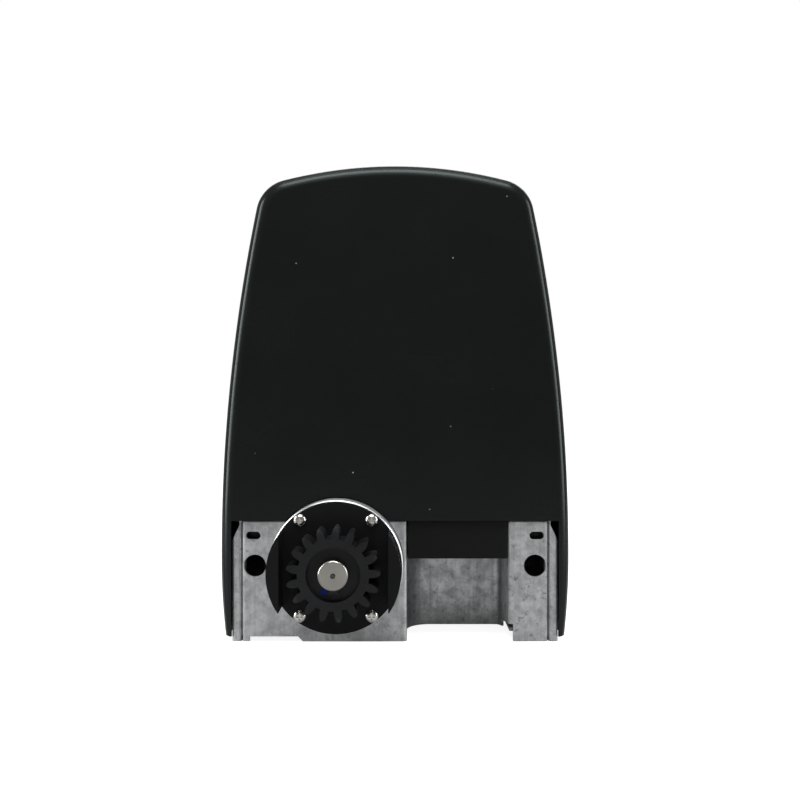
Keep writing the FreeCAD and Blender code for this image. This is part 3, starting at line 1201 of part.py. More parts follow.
def check_and_export():
    """Stop on any failed object or bad shape, then write each piece to its own file."""
    doc.recompute()
    for item in doc.Objects:
        if {"Invalid", "Error"} & set(item.State):
            raise RuntimeError(f"{item.Name} failed: {item.State}")
    os.makedirs("parts", exist_ok=True)
    for piece in nodes:
        if piece.Shape.isNull() or not piece.Shape.isValid() or not piece.Shape.Solids:
            raise RuntimeError(f"{piece.Label} has no valid solid")
    for piece in nodes:
        piece.Shape.exportStep(f"parts/{piece.Label}.step")


build()
check_and_export()
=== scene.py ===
"""Sliding gate motor: finishes for its sheet, castings, gears and plastics, and a moulded hood.

Lengths are in metres. The gate side faces -Y, the street side +Y, and the ground is at Z = 0.
"""

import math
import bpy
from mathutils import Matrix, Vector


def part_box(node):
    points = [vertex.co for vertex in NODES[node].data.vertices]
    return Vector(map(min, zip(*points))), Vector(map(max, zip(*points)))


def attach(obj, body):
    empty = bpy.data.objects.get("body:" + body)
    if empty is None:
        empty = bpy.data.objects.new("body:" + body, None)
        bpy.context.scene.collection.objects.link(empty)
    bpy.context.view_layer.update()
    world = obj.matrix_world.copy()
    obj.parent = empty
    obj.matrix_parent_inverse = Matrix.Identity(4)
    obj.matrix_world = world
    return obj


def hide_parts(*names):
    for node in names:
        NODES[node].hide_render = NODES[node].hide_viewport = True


bl_info = {
    "name": "Sliding gate motor",
    "version": (1, 0, 0),
    "blender": (4, 5, 0),
    "location": "View3D > Sidebar > Gate Motor",
    "description": "Finishes a sliding gate motor around its CAD frame",
    "category": "Object",
}

import bmesh
import bpy
from mathutils import Matrix, Vector

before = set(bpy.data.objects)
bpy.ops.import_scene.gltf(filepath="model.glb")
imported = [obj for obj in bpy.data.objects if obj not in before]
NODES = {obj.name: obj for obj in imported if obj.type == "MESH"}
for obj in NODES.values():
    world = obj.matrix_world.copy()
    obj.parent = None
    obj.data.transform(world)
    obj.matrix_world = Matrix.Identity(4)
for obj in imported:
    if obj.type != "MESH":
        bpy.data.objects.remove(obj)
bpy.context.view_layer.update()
HOOD_LOW, HOOD_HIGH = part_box("cover_shell")
PLATE_LOW, PLATE_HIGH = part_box("rear_plate")
DOOR_LOW, DOOR_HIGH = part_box("release_door")
GEAR_LOW, GEAR_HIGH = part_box("pinion")
GEAR_X, GEAR_Z = (GEAR_LOW.x + GEAR_HIGH.x) / 2, (GEAR_LOW.z + GEAR_HIGH.z) / 2

MM = 0.001

# The hood's outline and its two rounds.
SKIRT_STEPS, SIDE_STEPS, CORNER_STEPS, CROWN_STEPS = 10, 44, 20, 28
ROUND_STEPS = 12
SEAM_STEP = 6                # step of the gate side round that the seam follows
SEAM_HALF = 0.45 * MM        # half of the seam's width at its mouth
SEAM_FLOOR = 0.135 * MM      # half of its width at its foot
STREET_STEP = 6.3 * MM       # from the street face to the hinge's furthest reach
STREET = HOOD_HIGH.y - STREET_STEP
HOOD_SHARP = 32              # edges over this many degrees stay sharp
CORE_DROP = 5 * MM           # how far the hood's hollow runs past its foot

# Openings in the hood.
THROUGH = MM                 # how far a cutting tool runs past a face
WINDOW_ASIDE = 10.2 * MM     # from the hood's widest place to the gate side window
WINDOW_GAP = 0.2 * MM        # between the window and the plate's top edge
WINDOW_DEEP = 14 * MM
ARCH_RADIUS = 57.5 * MM      # clears the gear case's boss
STREET_DEEP = 4 * MM         # cuts through the street wall
DOOR_GAP = 0.8 * MM          # at each side of the door
DOORWAY_LOW, DOORWAY_HIGH = 30 * MM, 130 * MM
SLOT_HALF = 3 * MM           # slots for the hood's two screws

# Hooks and hinge knuckles of the hood.
HOOK_X = 121.5 * MM
HOOK_HALF = 7 * MM
HOOK_REACH = 14 * MM
HOOK_THICK = 3 * MM
HOOK_RISE = 4.2 * MM         # above the plate
HOOK_DROP = 24 * MM          # below its top edge
KNUCKLE = 3 * MM
KNUCKLE_HALF = 6 * MM
KNUCKLE_APART = 38 * MM      # from the middle of the door
KNUCKLE_WEB = 2 * MM         # height of the web over the pin's line

# Profiles of screw heads and sizes of their recesses, as shares of a head's radius and height.
PAN = ((0.0, 1.0), (0.35, 0.985), (0.62, 0.90), (0.84, 0.66), (0.96, 0.36), (1.0, 0.12))
SOCKET = ((0.0, 1.0), (0.82, 1.0), (0.94, 0.96), (1.0, 0.86))
CROSS_LONG, CROSS_WIDE, CROSS_DEEP = 0.52, 0.13, 0.62
KEY_WIDE, KEY_DEEP = 0.55, 0.6
RIVET_SHANK = 0.72           # radius, as a share of the head's
RIVET_HEAD = 1.2 * MM        # height of each head
RIVET_STEPS = 6
FASTENER_SHARP = 28          # edges over this many degrees stay sharp

# Each group's screws: the node, where its heads face, a head's height, a shank's radius and a head's form.
CHASSIS_SCREWS = (
    ("gearbox_bolts", "-Z", 4.5 * MM, 4 * MM, SOCKET),
    ("sensor_screws", "+Y", 2.6 * MM, 2 * MM, PAN),
    ("cover_screws", "+Y", 3.4 * MM, 2.5 * MM, PAN),
    ("board_screws", "+Y", 2.2 * MM, 2.1 * MM, PAN),
)
DRIVE_SCREWS = (
    ("lid_screws", "+Y", 4 * MM, 2 * MM, SOCKET),
    ("motor_screws", "+Z", 5 * MM, 2.5 * MM, SOCKET),
    ("motor_cap_screws", "+Z", 2.6 * MM, 1.5 * MM, PAN),
)
GUARD_SCREWS = (
    ("guard_screws", "-Y", 3.4 * MM, 3 * MM, PAN),
)

# A dab of blue paint in the pinion's recess, and the colour of dust.
DAB_AWAY = 16.5 * MM         # from the shaft's line
DAB_TURN = math.radians(243)
DAB_RADIUS = 3.2 * MM
DAB_BLUE = (0.004, 0.010, 0.16)
DUST = (0.30, 0.31, 0.30)

# Each lamp: its name, place, aim, width and height, and watts.
LAMPS = (
    ("front", (0.0, -1.3, 1.9), (0, 0, 0.1), (1.6, 0.8), 7),
    ("left", (-1.3, -0.25, 0.3), (0, 0, 0.2), (0.3, 1.6), 22),
    ("right", (1.3, -0.25, 0.3), (0, 0, 0.2), (0.3, 1.6), 14),
    ("above", (0.0, -0.5, 1.6), (0, -0.02, 0.2), (1.2, 0.5), 21),
    ("street", (0.3, 1.6, 1.2), (0, 0, 0.2), (1.4, 1.0), 8),
)

# The stage.
WORLD_LIGHT = 0.12           # on the object
WORLD_SHEEN = 0.30           # in its glossy faces
FLOOR_HALF = 12.0
FLOOR_DROP = 0.05 * MM
FLOOR_GREY = (0.55, 0.55, 0.55, 1)
FLOOR_SHEEN = 0.08           # the floor's own light in glossy faces
CAMERA_AWAY = 0.80           # from the gate side plate
CAMERA_HIGH = 0.207
CAMERA_ASIDE = 0.0043
CAMERA_LENS = 42.0


# ---------------------------------------------------------------- settings

class HoodSizes(bpy.types.PropertyGroup):
    """The hood's form."""
    wall: bpy.props.FloatProperty(name="Wall", description="Thickness of the moulding", default=3 * MM,
                                  unit="LENGTH")
    waist: bpy.props.FloatProperty(name="Waist", description="Height of the widest place", default=72 * MM,
                                   unit="LENGTH")
    skirt: bpy.props.FloatProperty(name="Skirt radius", description="Side curve below the waist",
                                   default=600 * MM, unit="LENGTH")
    side: bpy.props.FloatProperty(name="Side radius", description="Side curve above the waist",
                                  default=1500 * MM, unit="LENGTH")
    corner: bpy.props.FloatProperty(name="Corner radius", description="Top corner", default=32 * MM,
                                    unit="LENGTH")
    crown: bpy.props.FloatProperty(name="Crown radius", description="Curve of the top", default=385 * MM,
                                   unit="LENGTH")
    gate_round: bpy.props.FloatProperty(name="Gate side round", description="Edge towards the gate",
                                        default=12 * MM, unit="LENGTH")
    street_round: bpy.props.FloatProperty(name="Street side round", description="Edge towards the street",
                                          default=30 * MM, unit="LENGTH")
    seam_deep: bpy.props.FloatProperty(name="Seam depth", description="Line along the gate side round",
                                       default=0.7 * MM, unit="LENGTH")


class FinishColours(bpy.types.PropertyGroup):
    """Base colours of the main finishes."""
    hood: bpy.props.FloatVectorProperty(name="Hood", description="Black moulding", subtype="COLOR",
                                        default=(0.0068, 0.0072, 0.0072))
    zinc: bpy.props.FloatVectorProperty(name="Zinc", description="Galvanised sheet", subtype="COLOR",
                                        default=(0.50, 0.51, 0.515))
    gear: bpy.props.FloatVectorProperty(name="Gear", description="Dark oiled steel", subtype="COLOR",
                                        default=(0.013, 0.0135, 0.0145))
    guard: bpy.props.FloatVectorProperty(name="Guard", description="Black nylon", subtype="COLOR",
                                         default=(0.0068, 0.007, 0.0072))


def hood_sizes():
    """The scene's sizes of the hood."""
    return bpy.context.scene.gate_motor_hood


def colours():
    """The scene's base colours."""
    return bpy.context.scene.gate_motor_colours


# ---------------------------------------------------------------- shader groups

def group(name, inputs, outputs):
    """A shader node group with float inputs (name to default) and outputs (name to socket type)."""
    tree = bpy.data.node_groups.new(name, "ShaderNodeTree")
    for label, start in inputs.items():
        tree.interface.new_socket(label, in_out="INPUT", socket_type="NodeSocketFloat").default_value = start
    for label, kind in outputs.items():
        tree.interface.new_socket(label, in_out="OUTPUT", socket_type=kind)
    return tree, tree.nodes.new("NodeGroupInput"), tree.nodes.new("NodeGroupOutput")


def add(tree, kind, links=None, **settings):
    """A node with its settings, and its inputs set to a value or linked to a socket."""
    made = tree.nodes.new(kind)
    for label, setting in settings.items():
        setattr(made, label, setting)
    for label, source in (links or {}).items():
        if isinstance(source, bpy.types.NodeSocket):
            tree.links.new(source, made.inputs[label])
        else:
            made.inputs[label].default_value = source
    return made


def remap(tree, value, low, high, start=0.0, end=1.0):
    """value from low..high to start..end, held at the ends, with soft ends."""
    return add(tree, "ShaderNodeMapRange", {"Value": value, "From Min": low, "From Max": high,
                                            "To Min": start, "To Max": end},
               interpolation_type="SMOOTHSTEP").outputs["Result"]


def arithmetic(tree, operation, first, second):
    """The result of a Math node; a sine or a square root takes no notice of the second value."""
    return add(tree, "ShaderNodeMath", {0: first, 1: second}, operation=operation).outputs[0]


def object_place(tree):
    """The place of a point on the object, in metres."""
    return add(tree, "ShaderNodeTexCoord").outputs["Object"]


def noise(tree, place, scale, detail, **more):
    """Noise from 0 to 1 over the object."""
    settings = {"Vector": place, "Scale": scale, "Detail": detail, **more}
    return add(tree, "ShaderNodeTexNoise", settings).outputs["Fac"]


def away_from_line(tree, place, inside):
    """Distance from the line along Y through a group's X and Z."""
    parts = add(tree, "ShaderNodeSeparateXYZ", {"Vector": place}).outputs
    aside = arithmetic(tree, "SUBTRACT", parts["X"], inside.outputs["X"])
    above = arithmetic(tree, "SUBTRACT", parts["Z"], inside.outputs["Z"])
    squares = arithmetic(tree, "ADD", arithmetic(tree, "MULTIPLY", aside, aside),
                         arithmetic(tree, "MULTIPLY", above, above))
    return arithmetic(tree, "SQRT", squares, 0.0)


def moulded_grain():
    """Fine spark texture of a moulded face, with broad changes in gloss."""
    tree, inside, out = group("moulded_grain", {"Scale": 1400.0},
                              {"Height": "NodeSocketFloat", "Gloss": "NodeSocketFloat"})
    place = object_place(tree)
    tree.links.new(noise(tree, place, inside.outputs["Scale"], detail=3.0), out.inputs["Height"])
    tree.links.new(noise(tree, place, scale=14.0, detail=4.0), out.inputs["Gloss"])
    return tree


def dust_specks():
    """Sparse pale specks of dust on a dark face."""
    tree, inside, out = group("dust_specks", {"Scale": 60.0, "Size": 0.035, "Share": 0.86},
                              {"Mask": "NodeSocketFloat"})
    place = object_place(tree)
    cells = add(tree, "ShaderNodeTexVoronoi", {"Vector": place, "Scale": inside.outputs["Scale"]})
    pick = add(tree, "ShaderNodeSeparateColor", {"Color": cells.outputs["Color"]}).outputs["Red"]
    near = arithmetic(tree, "LESS_THAN", cells.outputs["Distance"], inside.outputs["Size"])
    chosen = arithmetic(tree, "GREATER_THAN", pick, inside.outputs["Share"])
    tree.links.new(arithmetic(tree, "MULTIPLY", near, chosen), out.inputs["Mask"])
    return tree


def zinc_mottle():
    """Mottling of galvanised sheet: soft clouds, small dark marks and a rolled streak."""
    tree, inside, out = group("zinc_mottle", {"Scale": 95.0, "Marks": 0.5},
                              {"Shade": "NodeSocketFloat", "Marks": "NodeSocketFloat",
                               "Height": "NodeSocketFloat"})
    place = object_place(tree)
    clouds = noise(tree, place, inside.outputs["Scale"], detail=6.0, Roughness=0.7, Distortion=0.2)
    spots = noise(tree, place, scale=210.0, detail=4.0, Roughness=0.7)
    wide = noise(tree, place, scale=13.0, detail=2.0)
    stretched = add(tree, "ShaderNodeMapping", {"Vector": place, "Scale": (420.0, 420.0, 9.0)})
    streak = noise(tree, stretched.outputs["Vector"], scale=1.0, detail=2.0)
    where = arithmetic(tree, "MULTIPLY", remap(tree, spots, 0.54, 0.68),
                       remap(tree, wide, 0.35, 0.65, 0.25, 1.0))
    shade = arithmetic(tree, "ADD", remap(tree, clouds, 0.3, 0.7, 0.0, 0.8),
                       remap(tree, streak, 0.3, 0.7, 0.0, 0.2))
    tree.links.new(shade, out.inputs["Shade"])
    tree.links.new(arithmetic(tree, "MULTIPLY", where, inside.outputs["Marks"]), out.inputs["Marks"])
    tree.links.new(streak, out.inputs["Height"])
    return tree


def turned_rings():
    """Fine rings round an axis along Y, as a lathe leaves them, and the distance from that axis."""
    tree, inside, out = group("turned_rings", {"X": 0.0, "Z": 0.0, "Pitch": 0.0006},
                              {"Height": "NodeSocketFloat", "Radius": "NodeSocketFloat"})
    radius = away_from_line(tree, object_place(tree), inside)
    turns = arithmetic(tree, "DIVIDE", radius, inside.outputs["Pitch"])
    rings = arithmetic(tree, "SINE", arithmetic(tree, "MULTIPLY", turns, 2 * math.pi), 0.0)
    tree.links.new(rings, out.inputs["Height"])
    tree.links.new(radius, out.inputs["Radius"])
    return tree


def cast_skin():
    """Slightly pitted skin of a casting."""
    tree, inside, out = group("cast_skin", {"Scale": 700.0},
                              {"Height": "NodeSocketFloat", "Shade": "NodeSocketFloat"})
    place = object_place(tree)
    tree.links.new(noise(tree, place, inside.outputs["Scale"], detail=5.0), out.inputs["Height"])
    tree.links.new(noise(tree, place, scale=45.0, detail=5.0), out.inputs["Shade"])
    return tree


def paint_dab():
    """An uneven dab of paint on a face across Y, about a place, with a radius."""
    tree, inside, out = group("paint_dab", {"X": 0.0, "Z": 0.0, "Radius": 0.003}, {"Mask": "NodeSocketFloat"})
    place = object_place(tree)
    share = arithmetic(tree, "DIVIDE", away_from_line(tree, place, inside), inside.outputs["Radius"])
    uneven = arithmetic(tree, "ADD", share, noise(tree, place, scale=420.0, detail=2.0))
    tree.links.new(remap(tree, uneven, 1.2, 1.5, 1.0, 0.0), out.inputs["Mask"])
    return tree


GROUP_MAKERS = {"grain": moulded_grain, "dust": dust_specks, "mottle": zinc_mottle, "rings": turned_rings,
                "skin": cast_skin, "dab": paint_dab}
GROUPS = {}


def place_group(tree, name, **values):
    """A shared effect in a material, with its own values."""
    if name not in GROUPS:
        GROUPS[name] = GROUP_MAKERS[name]()
    made = tree.nodes.new("ShaderNodeGroup")
    made.node_tree = GROUPS[name]
    for label, value in values.items():
        made.inputs[label].default_value = value
    return made.outputs


# ---------------------------------------------------------------- materials

def shader(name, metallic=0.0, roughness=0.5, **constants):
    """A material with one Principled BSDF: the material, its tree and the shader."""
    made = bpy.data.materials.new(name)
    made.use_nodes = True
    tree = made.node_tree
    surface = tree.nodes["Principled BSDF"]
    surface.inputs["Metallic"].default_value = metallic
    surface.inputs["Roughness"].default_value = roughness
    for label, value in constants.items():
        surface.inputs[label.replace("_", " ")].default_value = value
    return made, tree, surface


def blend_colours(tree, mask, first, second):
    """first where the mask is 0 and second where it is 1; each is a colour or a socket."""
    # In its colour form, a Mix node's factor is input 0, its colours are 6 and 7 and its result is output 2.
    mixed = add(tree, "ShaderNodeMix", data_type="RGBA")
    for index, source in ((6, first), (7, second)):
        if isinstance(source, bpy.types.NodeSocket):
            tree.links.new(source, mixed.inputs[index])
        else:
            mixed.inputs[index].default_value = (*source, 1.0)
    tree.links.new(mask, mixed.inputs[0])
    return mixed.outputs[2]


def bump(tree, surface, height, distance, strength=1.0):
    """Relief from a height, distance deep at full strength."""
    made = add(tree, "ShaderNodeBump", {"Height": height, "Distance": distance, "Strength": strength})
    tree.links.new(made.outputs["Normal"], surface.inputs["Normal"])


def scaled(colour, factor):
    """A colour made darker or lighter, and no lighter than white."""
    return tuple(min(channel * factor, 1.0) for channel in colour)


def two_tone(tree, mask, colour, dark, light):
    """colour times dark where the mask is 0, and times light where it is 1."""
    return blend_colours(tree, mask, scaled(colour, dark), scaled(colour, light))


def moulding(name, colour, roughness=(0.42, 0.52), grain=1400.0, height=0.02 * MM, dust=0.0, shine=0.5,
             tint=(1, 1, 1)):
    """Moulded plastic: fine grain, uneven gloss and, on outer faces, a few specks of dust."""
    made, tree, surface = shader(name, Specular_IOR_Level=shine, Specular_Tint=(*tint, 1))
    texture = place_group(tree, "grain", Scale=grain)
    tree.links.new(remap(tree, texture["Gloss"], 0.3, 0.7, *roughness), surface.inputs["Roughness"])
    base = two_tone(tree, texture["Gloss"], colour, dark=0.85, light=1.2)
    if dust:
        specks = place_group(tree, "dust", Share=1.0 - dust)
        base = blend_colours(tree, specks["Mask"], base, DUST)
    tree.links.new(base, surface.inputs["Base Color"])
    bump(tree, surface, texture["Height"], height)
    return made


def zinc_sheet(name, colour, marks=0.5):
    """Galvanised or zinc plated steel, with marks from 0 to 1."""
    made, tree, surface = shader(name, metallic=0.75)
    texture = place_group(tree, "mottle", Marks=marks)
    base = two_tone(tree, texture["Shade"], colour, dark=0.62, light=1.12)
    base = blend_colours(tree, texture["Marks"], base, scaled(colour, 0.25))
    tree.links.new(base, surface.inputs["Base Color"])
    tree.links.new(remap(tree, texture["Shade"], 0.0, 1.0, 0.52, 0.36), surface.inputs["Roughness"])
    bump(tree, surface, texture["Height"], 0.02 * MM, strength=0.5)
    return made


def casting(name, colour, metallic=0.85, roughness=(0.34, 0.5)):
    """Cast or plated metal, slightly pitted."""
    made, tree, surface = shader(name, metallic=metallic)
    texture = place_group(tree, "skin")
    tree.links.new(remap(tree, texture["Shade"], 0.3, 0.7, *roughness), surface.inputs["Roughness"])
    base = two_tone(tree, texture["Shade"], colour, dark=0.8, light=1.12)
    tree.links.new(base, surface.inputs["Base Color"])
    bump(tree, surface, texture["Height"], 0.05 * MM, strength=0.6)
    return made


def turned_metal(name, colour, roughness, pitch=0.6 * MM):
    """Metal turned about the output shaft's line."""
    made, tree, surface = shader(name, metallic=1.0, roughness=roughness)
    rings = place_group(tree, "rings", X=GEAR_X, Z=GEAR_Z, Pitch=pitch)
    skin = place_group(tree, "skin", Scale=260.0)
    tree.links.new(two_tone(tree, skin["Shade"], colour, dark=0.85, light=1.1), surface.inputs["Base Color"])
    bump(tree, surface, rings["Height"], 0.02 * MM, strength=0.7)
    return made


def gear_steel(name, colour):
    """Blackened steel, lighter towards the teeth's tips, with a dab of blue paint in its recess."""
    made, tree, surface = shader(name, metallic=0.4, Specular_IOR_Level=0.25)
    rings = place_group(tree, "rings", X=GEAR_X, Z=GEAR_Z, Pitch=0.9 * MM)
    skin = place_group(tree, "skin", Scale=420.0)
    tip = GEAR_HIGH.z - GEAR_Z
    # colour up to three times lighter towards the teeth's tips, in patches
    toward_tips = arithmetic(tree, "MULTIPLY", remap(tree, rings["Radius"], tip * 0.86, tip * 1.01, 0.0, 0.8),
                      remap(tree, skin["Shade"], 0.42, 0.66))
    dark = two_tone(tree, skin["Shade"], colour, dark=0.7, light=1.35)
    steel = blend_colours(tree, toward_tips, dark, scaled(colour, 3.0))
    dab = place_group(tree, "dab", X=GEAR_X + DAB_AWAY * math.cos(DAB_TURN),
                      Z=GEAR_Z + DAB_AWAY * math.sin(DAB_TURN), Radius=DAB_RADIUS)
    tree.links.new(blend_colours(tree, dab["Mask"], steel, DAB_BLUE), surface.inputs["Base Color"])
    tree.links.new(remap(tree, skin["Shade"], 0.3, 0.7, 0.36, 0.55), surface.inputs["Roughness"])
    bump(tree, surface, skin["Height"], 0.06 * MM, strength=0.7)
    return made


def laminated(name, colour, pitch):
    """A stack of thin steel sheets along Z."""
    made, tree, surface = shader(name, metallic=0.7, roughness=0.45)
    place = object_place(tree)
    height = add(tree, "ShaderNodeSeparateXYZ", {"Vector": place}).outputs["Z"]
    waves = arithmetic(tree, "SINE", arithmetic(tree, "MULTIPLY", height, 2 * math.pi / pitch), 0.0)
    base = two_tone(tree, remap(tree, waves, -0.4, 0.8), colour, dark=0.5, light=1.0)
    tree.links.new(base, surface.inputs["Base Color"])
    bump(tree, surface, waves, 0.15 * MM)
    return made


def wound_wire(name, colour):
    """Varnished wire wound round the stator."""
    made, tree, surface = shader(name, metallic=0.8, roughness=0.3)
    place = object_place(tree)
    waves = {"Vector": place, "Scale": 260.0, "Distortion": 2.5, "Detail": 1.0}
    strands = add(tree, "ShaderNodeTexWave", waves, bands_direction="Z").outputs["Fac"]
    tree.links.new(two_tone(tree, strands, colour, dark=0.45, light=1.0), surface.inputs["Base Color"])
    bump(tree, surface, strands, 0.3 * MM)
    return made


def board_face(name, colour):
    """A circuit board's solder mask, with paler tracks under it."""
    made, tree, surface = shader(name, roughness=0.3)
    place = object_place(tree)
    cells = add(tree, "ShaderNodeTexVoronoi", {"Vector": place, "Scale": 190.0}, distance="MANHATTAN")
    tracks = remap(tree, cells.outputs["Distance"], 0.40, 0.46)
    tree.links.new(two_tone(tree, tracks, colour, dark=1.0, light=1.9), surface.inputs["Base Color"])
    bump(tree, surface, tracks, 0.03 * MM)
    return made


# ---------------------------------------------------------------- meshes

def link(name, mesh):
    """An object that holds the mesh, in the scene."""
    made = bpy.data.objects.new(name, mesh)
    bpy.context.scene.collection.objects.link(made)
    return made


def mesh_of(name, shape):
    """A mesh object from a bmesh, which is freed."""
    mesh = bpy.data.meshes.new(name)
    shape.to_mesh(mesh)
    shape.free()
    return link(name, mesh)


def flattened(thing):
    """Turns the evaluated object into its plain mesh, with no modifier left."""
    bpy.context.view_layer.update()
    seen = thing.evaluated_get(bpy.context.evaluated_depsgraph_get())
    thing.data = bpy.data.meshes.new_from_object(seen)
    thing.modifiers.clear()
    return thing


def paint(thing, material):
    """Gives the object one material."""
    thing.data.materials.clear()
    thing.data.materials.append(material)


def block(low, high):
    """A closed box between two corners."""
    shape = bmesh.new()
    size = Vector(high) - Vector(low)
    middle = (Vector(high) + Vector(low)) / 2
    bmesh.ops.create_cube(shape, size=1.0, matrix=Matrix.Translation(middle) @ Matrix.Diagonal((*size, 1)))
    return shape


def cylinder(middle, turn, long, radius, sides):
    """A closed cylinder along Z, turned and moved."""
    shape = bmesh.new()
    bmesh.ops.create_cone(shape, cap_ends=True, segments=sides, radius1=radius, radius2=radius, depth=long,
                          matrix=Matrix.Translation(middle) @ turn)
    return shape


def bar(x, z, low, high, radius, sides=96):
    """A closed cylinder along Y."""
    return cylinder((x, (low + high) / 2, z), Matrix.Rotation(math.pi / 2, 4, "X"), high - low, radius, sides)


def cross_bar(x, y, z, half, radius):
    """A closed cylinder along X."""
    return cylinder((x, y, z), Matrix.Rotation(math.pi / 2, 4, "Y"), 2 * half, radius, 32)


def arc_points(centre, start, end, count):
    """Points from start round centre to end, the short way, without the last one."""
    first = math.atan2(start[1] - centre[1], start[0] - centre[0])
    last = math.atan2(end[1] - centre[1], end[0] - centre[0])
    swing = (last - first + math.pi) % (2 * math.pi) - math.pi
    radius = math.hypot(start[0] - centre[0], start[1] - centre[1])
    return [(centre[0] + radius * math.cos(first + swing * step / count),
             centre[1] + radius * math.sin(first + swing * step / count)) for step in range(count)]


def hood_outline(sizes, inset, foot):
    """The hood seen from the gate and moved in by inset, from the right foot over the crown to the left."""
    half, top, waist = HOOD_HIGH.x, HOOD_HIGH.z, sizes.waist
    crown_at = Vector((0, top - sizes.crown))
    side_at = Vector((half - sizes.side, waist))
    skirt_at = Vector((half - sizes.skirt, waist))
    between = side_at - crown_at
    reach, swing = sizes.crown - sizes.corner, sizes.side - sizes.corner
    along = (reach ** 2 - swing ** 2 + between.length_squared) / (2 * between.length)
    unit = between.normalized()
    across = Vector((-unit.y, unit.x)) * math.sqrt(reach ** 2 - along ** 2)
    corner_at = max((crown_at + unit * along + across * turn for turn in (-1, 1)), key=lambda point: point.y)
    skirt = sizes.skirt - inset
    low = (skirt_at.x + math.sqrt(skirt ** 2 - (foot - waist) ** 2), foot)
    wide = (half - inset, waist)
    upper = side_at + (corner_at - side_at).normalized() * (sizes.side - inset)
    crest = crown_at + (corner_at - crown_at).normalized() * (sizes.crown - inset)
    right = arc_points(skirt_at, low, wide, SKIRT_STEPS)
    right += arc_points(side_at, wide, upper, SIDE_STEPS)
    right += arc_points(corner_at, upper, crest, CORNER_STEPS)
    right += arc_points(crown_at, crest, (0, top - inset), CROWN_STEPS)
    left = [(-x, z) for x, z in reversed(right)]
    return right + [(0, top - inset)] + left


def hood_solid(name, sizes, shrink, low, high, foot, seam=0.0):
    """A closed solid of the hood's outer or inner form, with its two rounds."""
    rings = []
    gate, street = sizes.gate_round - shrink, sizes.street_round - shrink
    for step in range(ROUND_STEPS + 1):
        turn = math.pi / 2 * step / ROUND_STEPS
        rings.append((low + gate * (1 - math.cos(turn)), gate * (1 - math.sin(turn))))
    if seam:
        y, inset = rings[SEAM_STEP]
        rings[SEAM_STEP:SEAM_STEP + 1] = [(y - SEAM_HALF, inset + SEAM_HALF),
                                          (y - SEAM_FLOOR, inset + SEAM_FLOOR + seam),
                                          (y + SEAM_FLOOR, inset - SEAM_FLOOR + seam),
                                          (y + SEAM_HALF, inset - SEAM_HALF)]
    for step in range(ROUND_STEPS + 1):
        turn = math.pi / 2 * (1 - step / ROUND_STEPS)
        rings.append((high - street * (1 - math.cos(turn)), street * (1 - math.sin(turn))))
    shape = bmesh.new()
    loops = []
    for y, inset in rings:
        loops.append([shape.verts.new((x, y, z)) for x, z in hood_outline(sizes, inset + shrink, foot)])
    count = len(loops[0])
    for near, far in zip(loops, loops[1:]):
        for index in range(count):
            following = (index + 1) % count
            shape.faces.new((near[index], near[following], far[following], far[index]))
    shape.faces.new(list(reversed(loops[0])))
    shape.faces.new(loops[-1])
    bmesh.ops.recalc_face_normals(shape, faces=shape.faces)
    return mesh_of(name, shape)


def carve(thing, tools, operation="DIFFERENCE"):
    """Cuts the tools from thing, or joins them to it, one at a time."""
    for number, shape in enumerate(tools):
        tool = mesh_of(f"tool_{number}", shape) if isinstance(shape, bmesh.types.BMesh) else shape
        change = thing.modifiers.new("cut", "BOOLEAN")
        change.operation = operation
        change.solver = "EXACT"
        change.object = tool
        flattened(thing)
        bpy.data.objects.remove(tool)
    return thing


def smoothed(thing, angle):
    """Smooth faces with sharp edges past angle, weighted so that flat faces stay flat."""
    thing.data.polygons.foreach_set("use_smooth", [True] * len(thing.data.polygons))
    thing.data.set_sharp_from_angle(angle=math.radians(angle))
    weighted = thing.modifiers.new("normals", "WEIGHTED_NORMAL")
    weighted.keep_sharp = True
    weighted.weight = 100    # the most that it takes, so the largest faces lead
    return flattened(thing)


def islands(node):
    """The lowest and highest corners of each separate solid of a node, from left to right."""
    shape = bmesh.new()
    shape.from_mesh(NODES[node].data)
    bmesh.ops.remove_doubles(shape, verts=shape.verts, dist=1e-6)
    left, found = set(shape.verts), []
    while left:
        reached, front = set(), [next(iter(left))]
        while front:
            vert = front.pop()
            if vert in reached:
                continue
            reached.add(vert)
            front.extend(edge.other_vert(vert) for edge in vert.link_edges)
        left -= reached
        low = Vector([min(vert.co[axis] for vert in reached) for axis in range(3)])
        high = Vector([max(vert.co[axis] for vert in reached) for axis in range(3)])
        found.append((low, high))
    shape.free()
    return sorted(found, key=lambda corners: tuple(round(value, 5) for value in corners[0]))


# ---------------------------------------------------------------- the hood's openings, hooks and knuckles

def hood_openings():
    """Tools for the gate side window, the arch over the boss, the doorway and the screw slots."""
    low, back = HOOD_LOW.y - THROUGH, HOOD_LOW.y + WINDOW_DEEP
    front, out = STREET - STREET_DEEP, STREET + THROUGH
    foot = HOOD_LOW.z - THROUGH
    half = HOOD_HIGH.x - WINDOW_ASIDE
    tools = [block((-half, low, foot), (half, back, PLATE_HIGH.z + WINDOW_GAP)),
             bar(GEAR_X, GEAR_Z, low, back, ARCH_RADIUS),
             block((DOOR_LOW.x - DOOR_GAP, front, DOORWAY_LOW), (DOOR_HIGH.x + DOOR_GAP, out, DOORWAY_HIGH))]
    for screw_low, screw_high in islands("cover_screws"):
        x = (screw_low.x + screw_high.x) / 2
        z = (screw_low.z + screw_high.z) / 2
        tools.append(block((x - SLOT_HALF, front, foot), (x + SLOT_HALF, out, z)))
        tools.append(bar(x, z, front, out, SLOT_HALF, 32))
    return tools


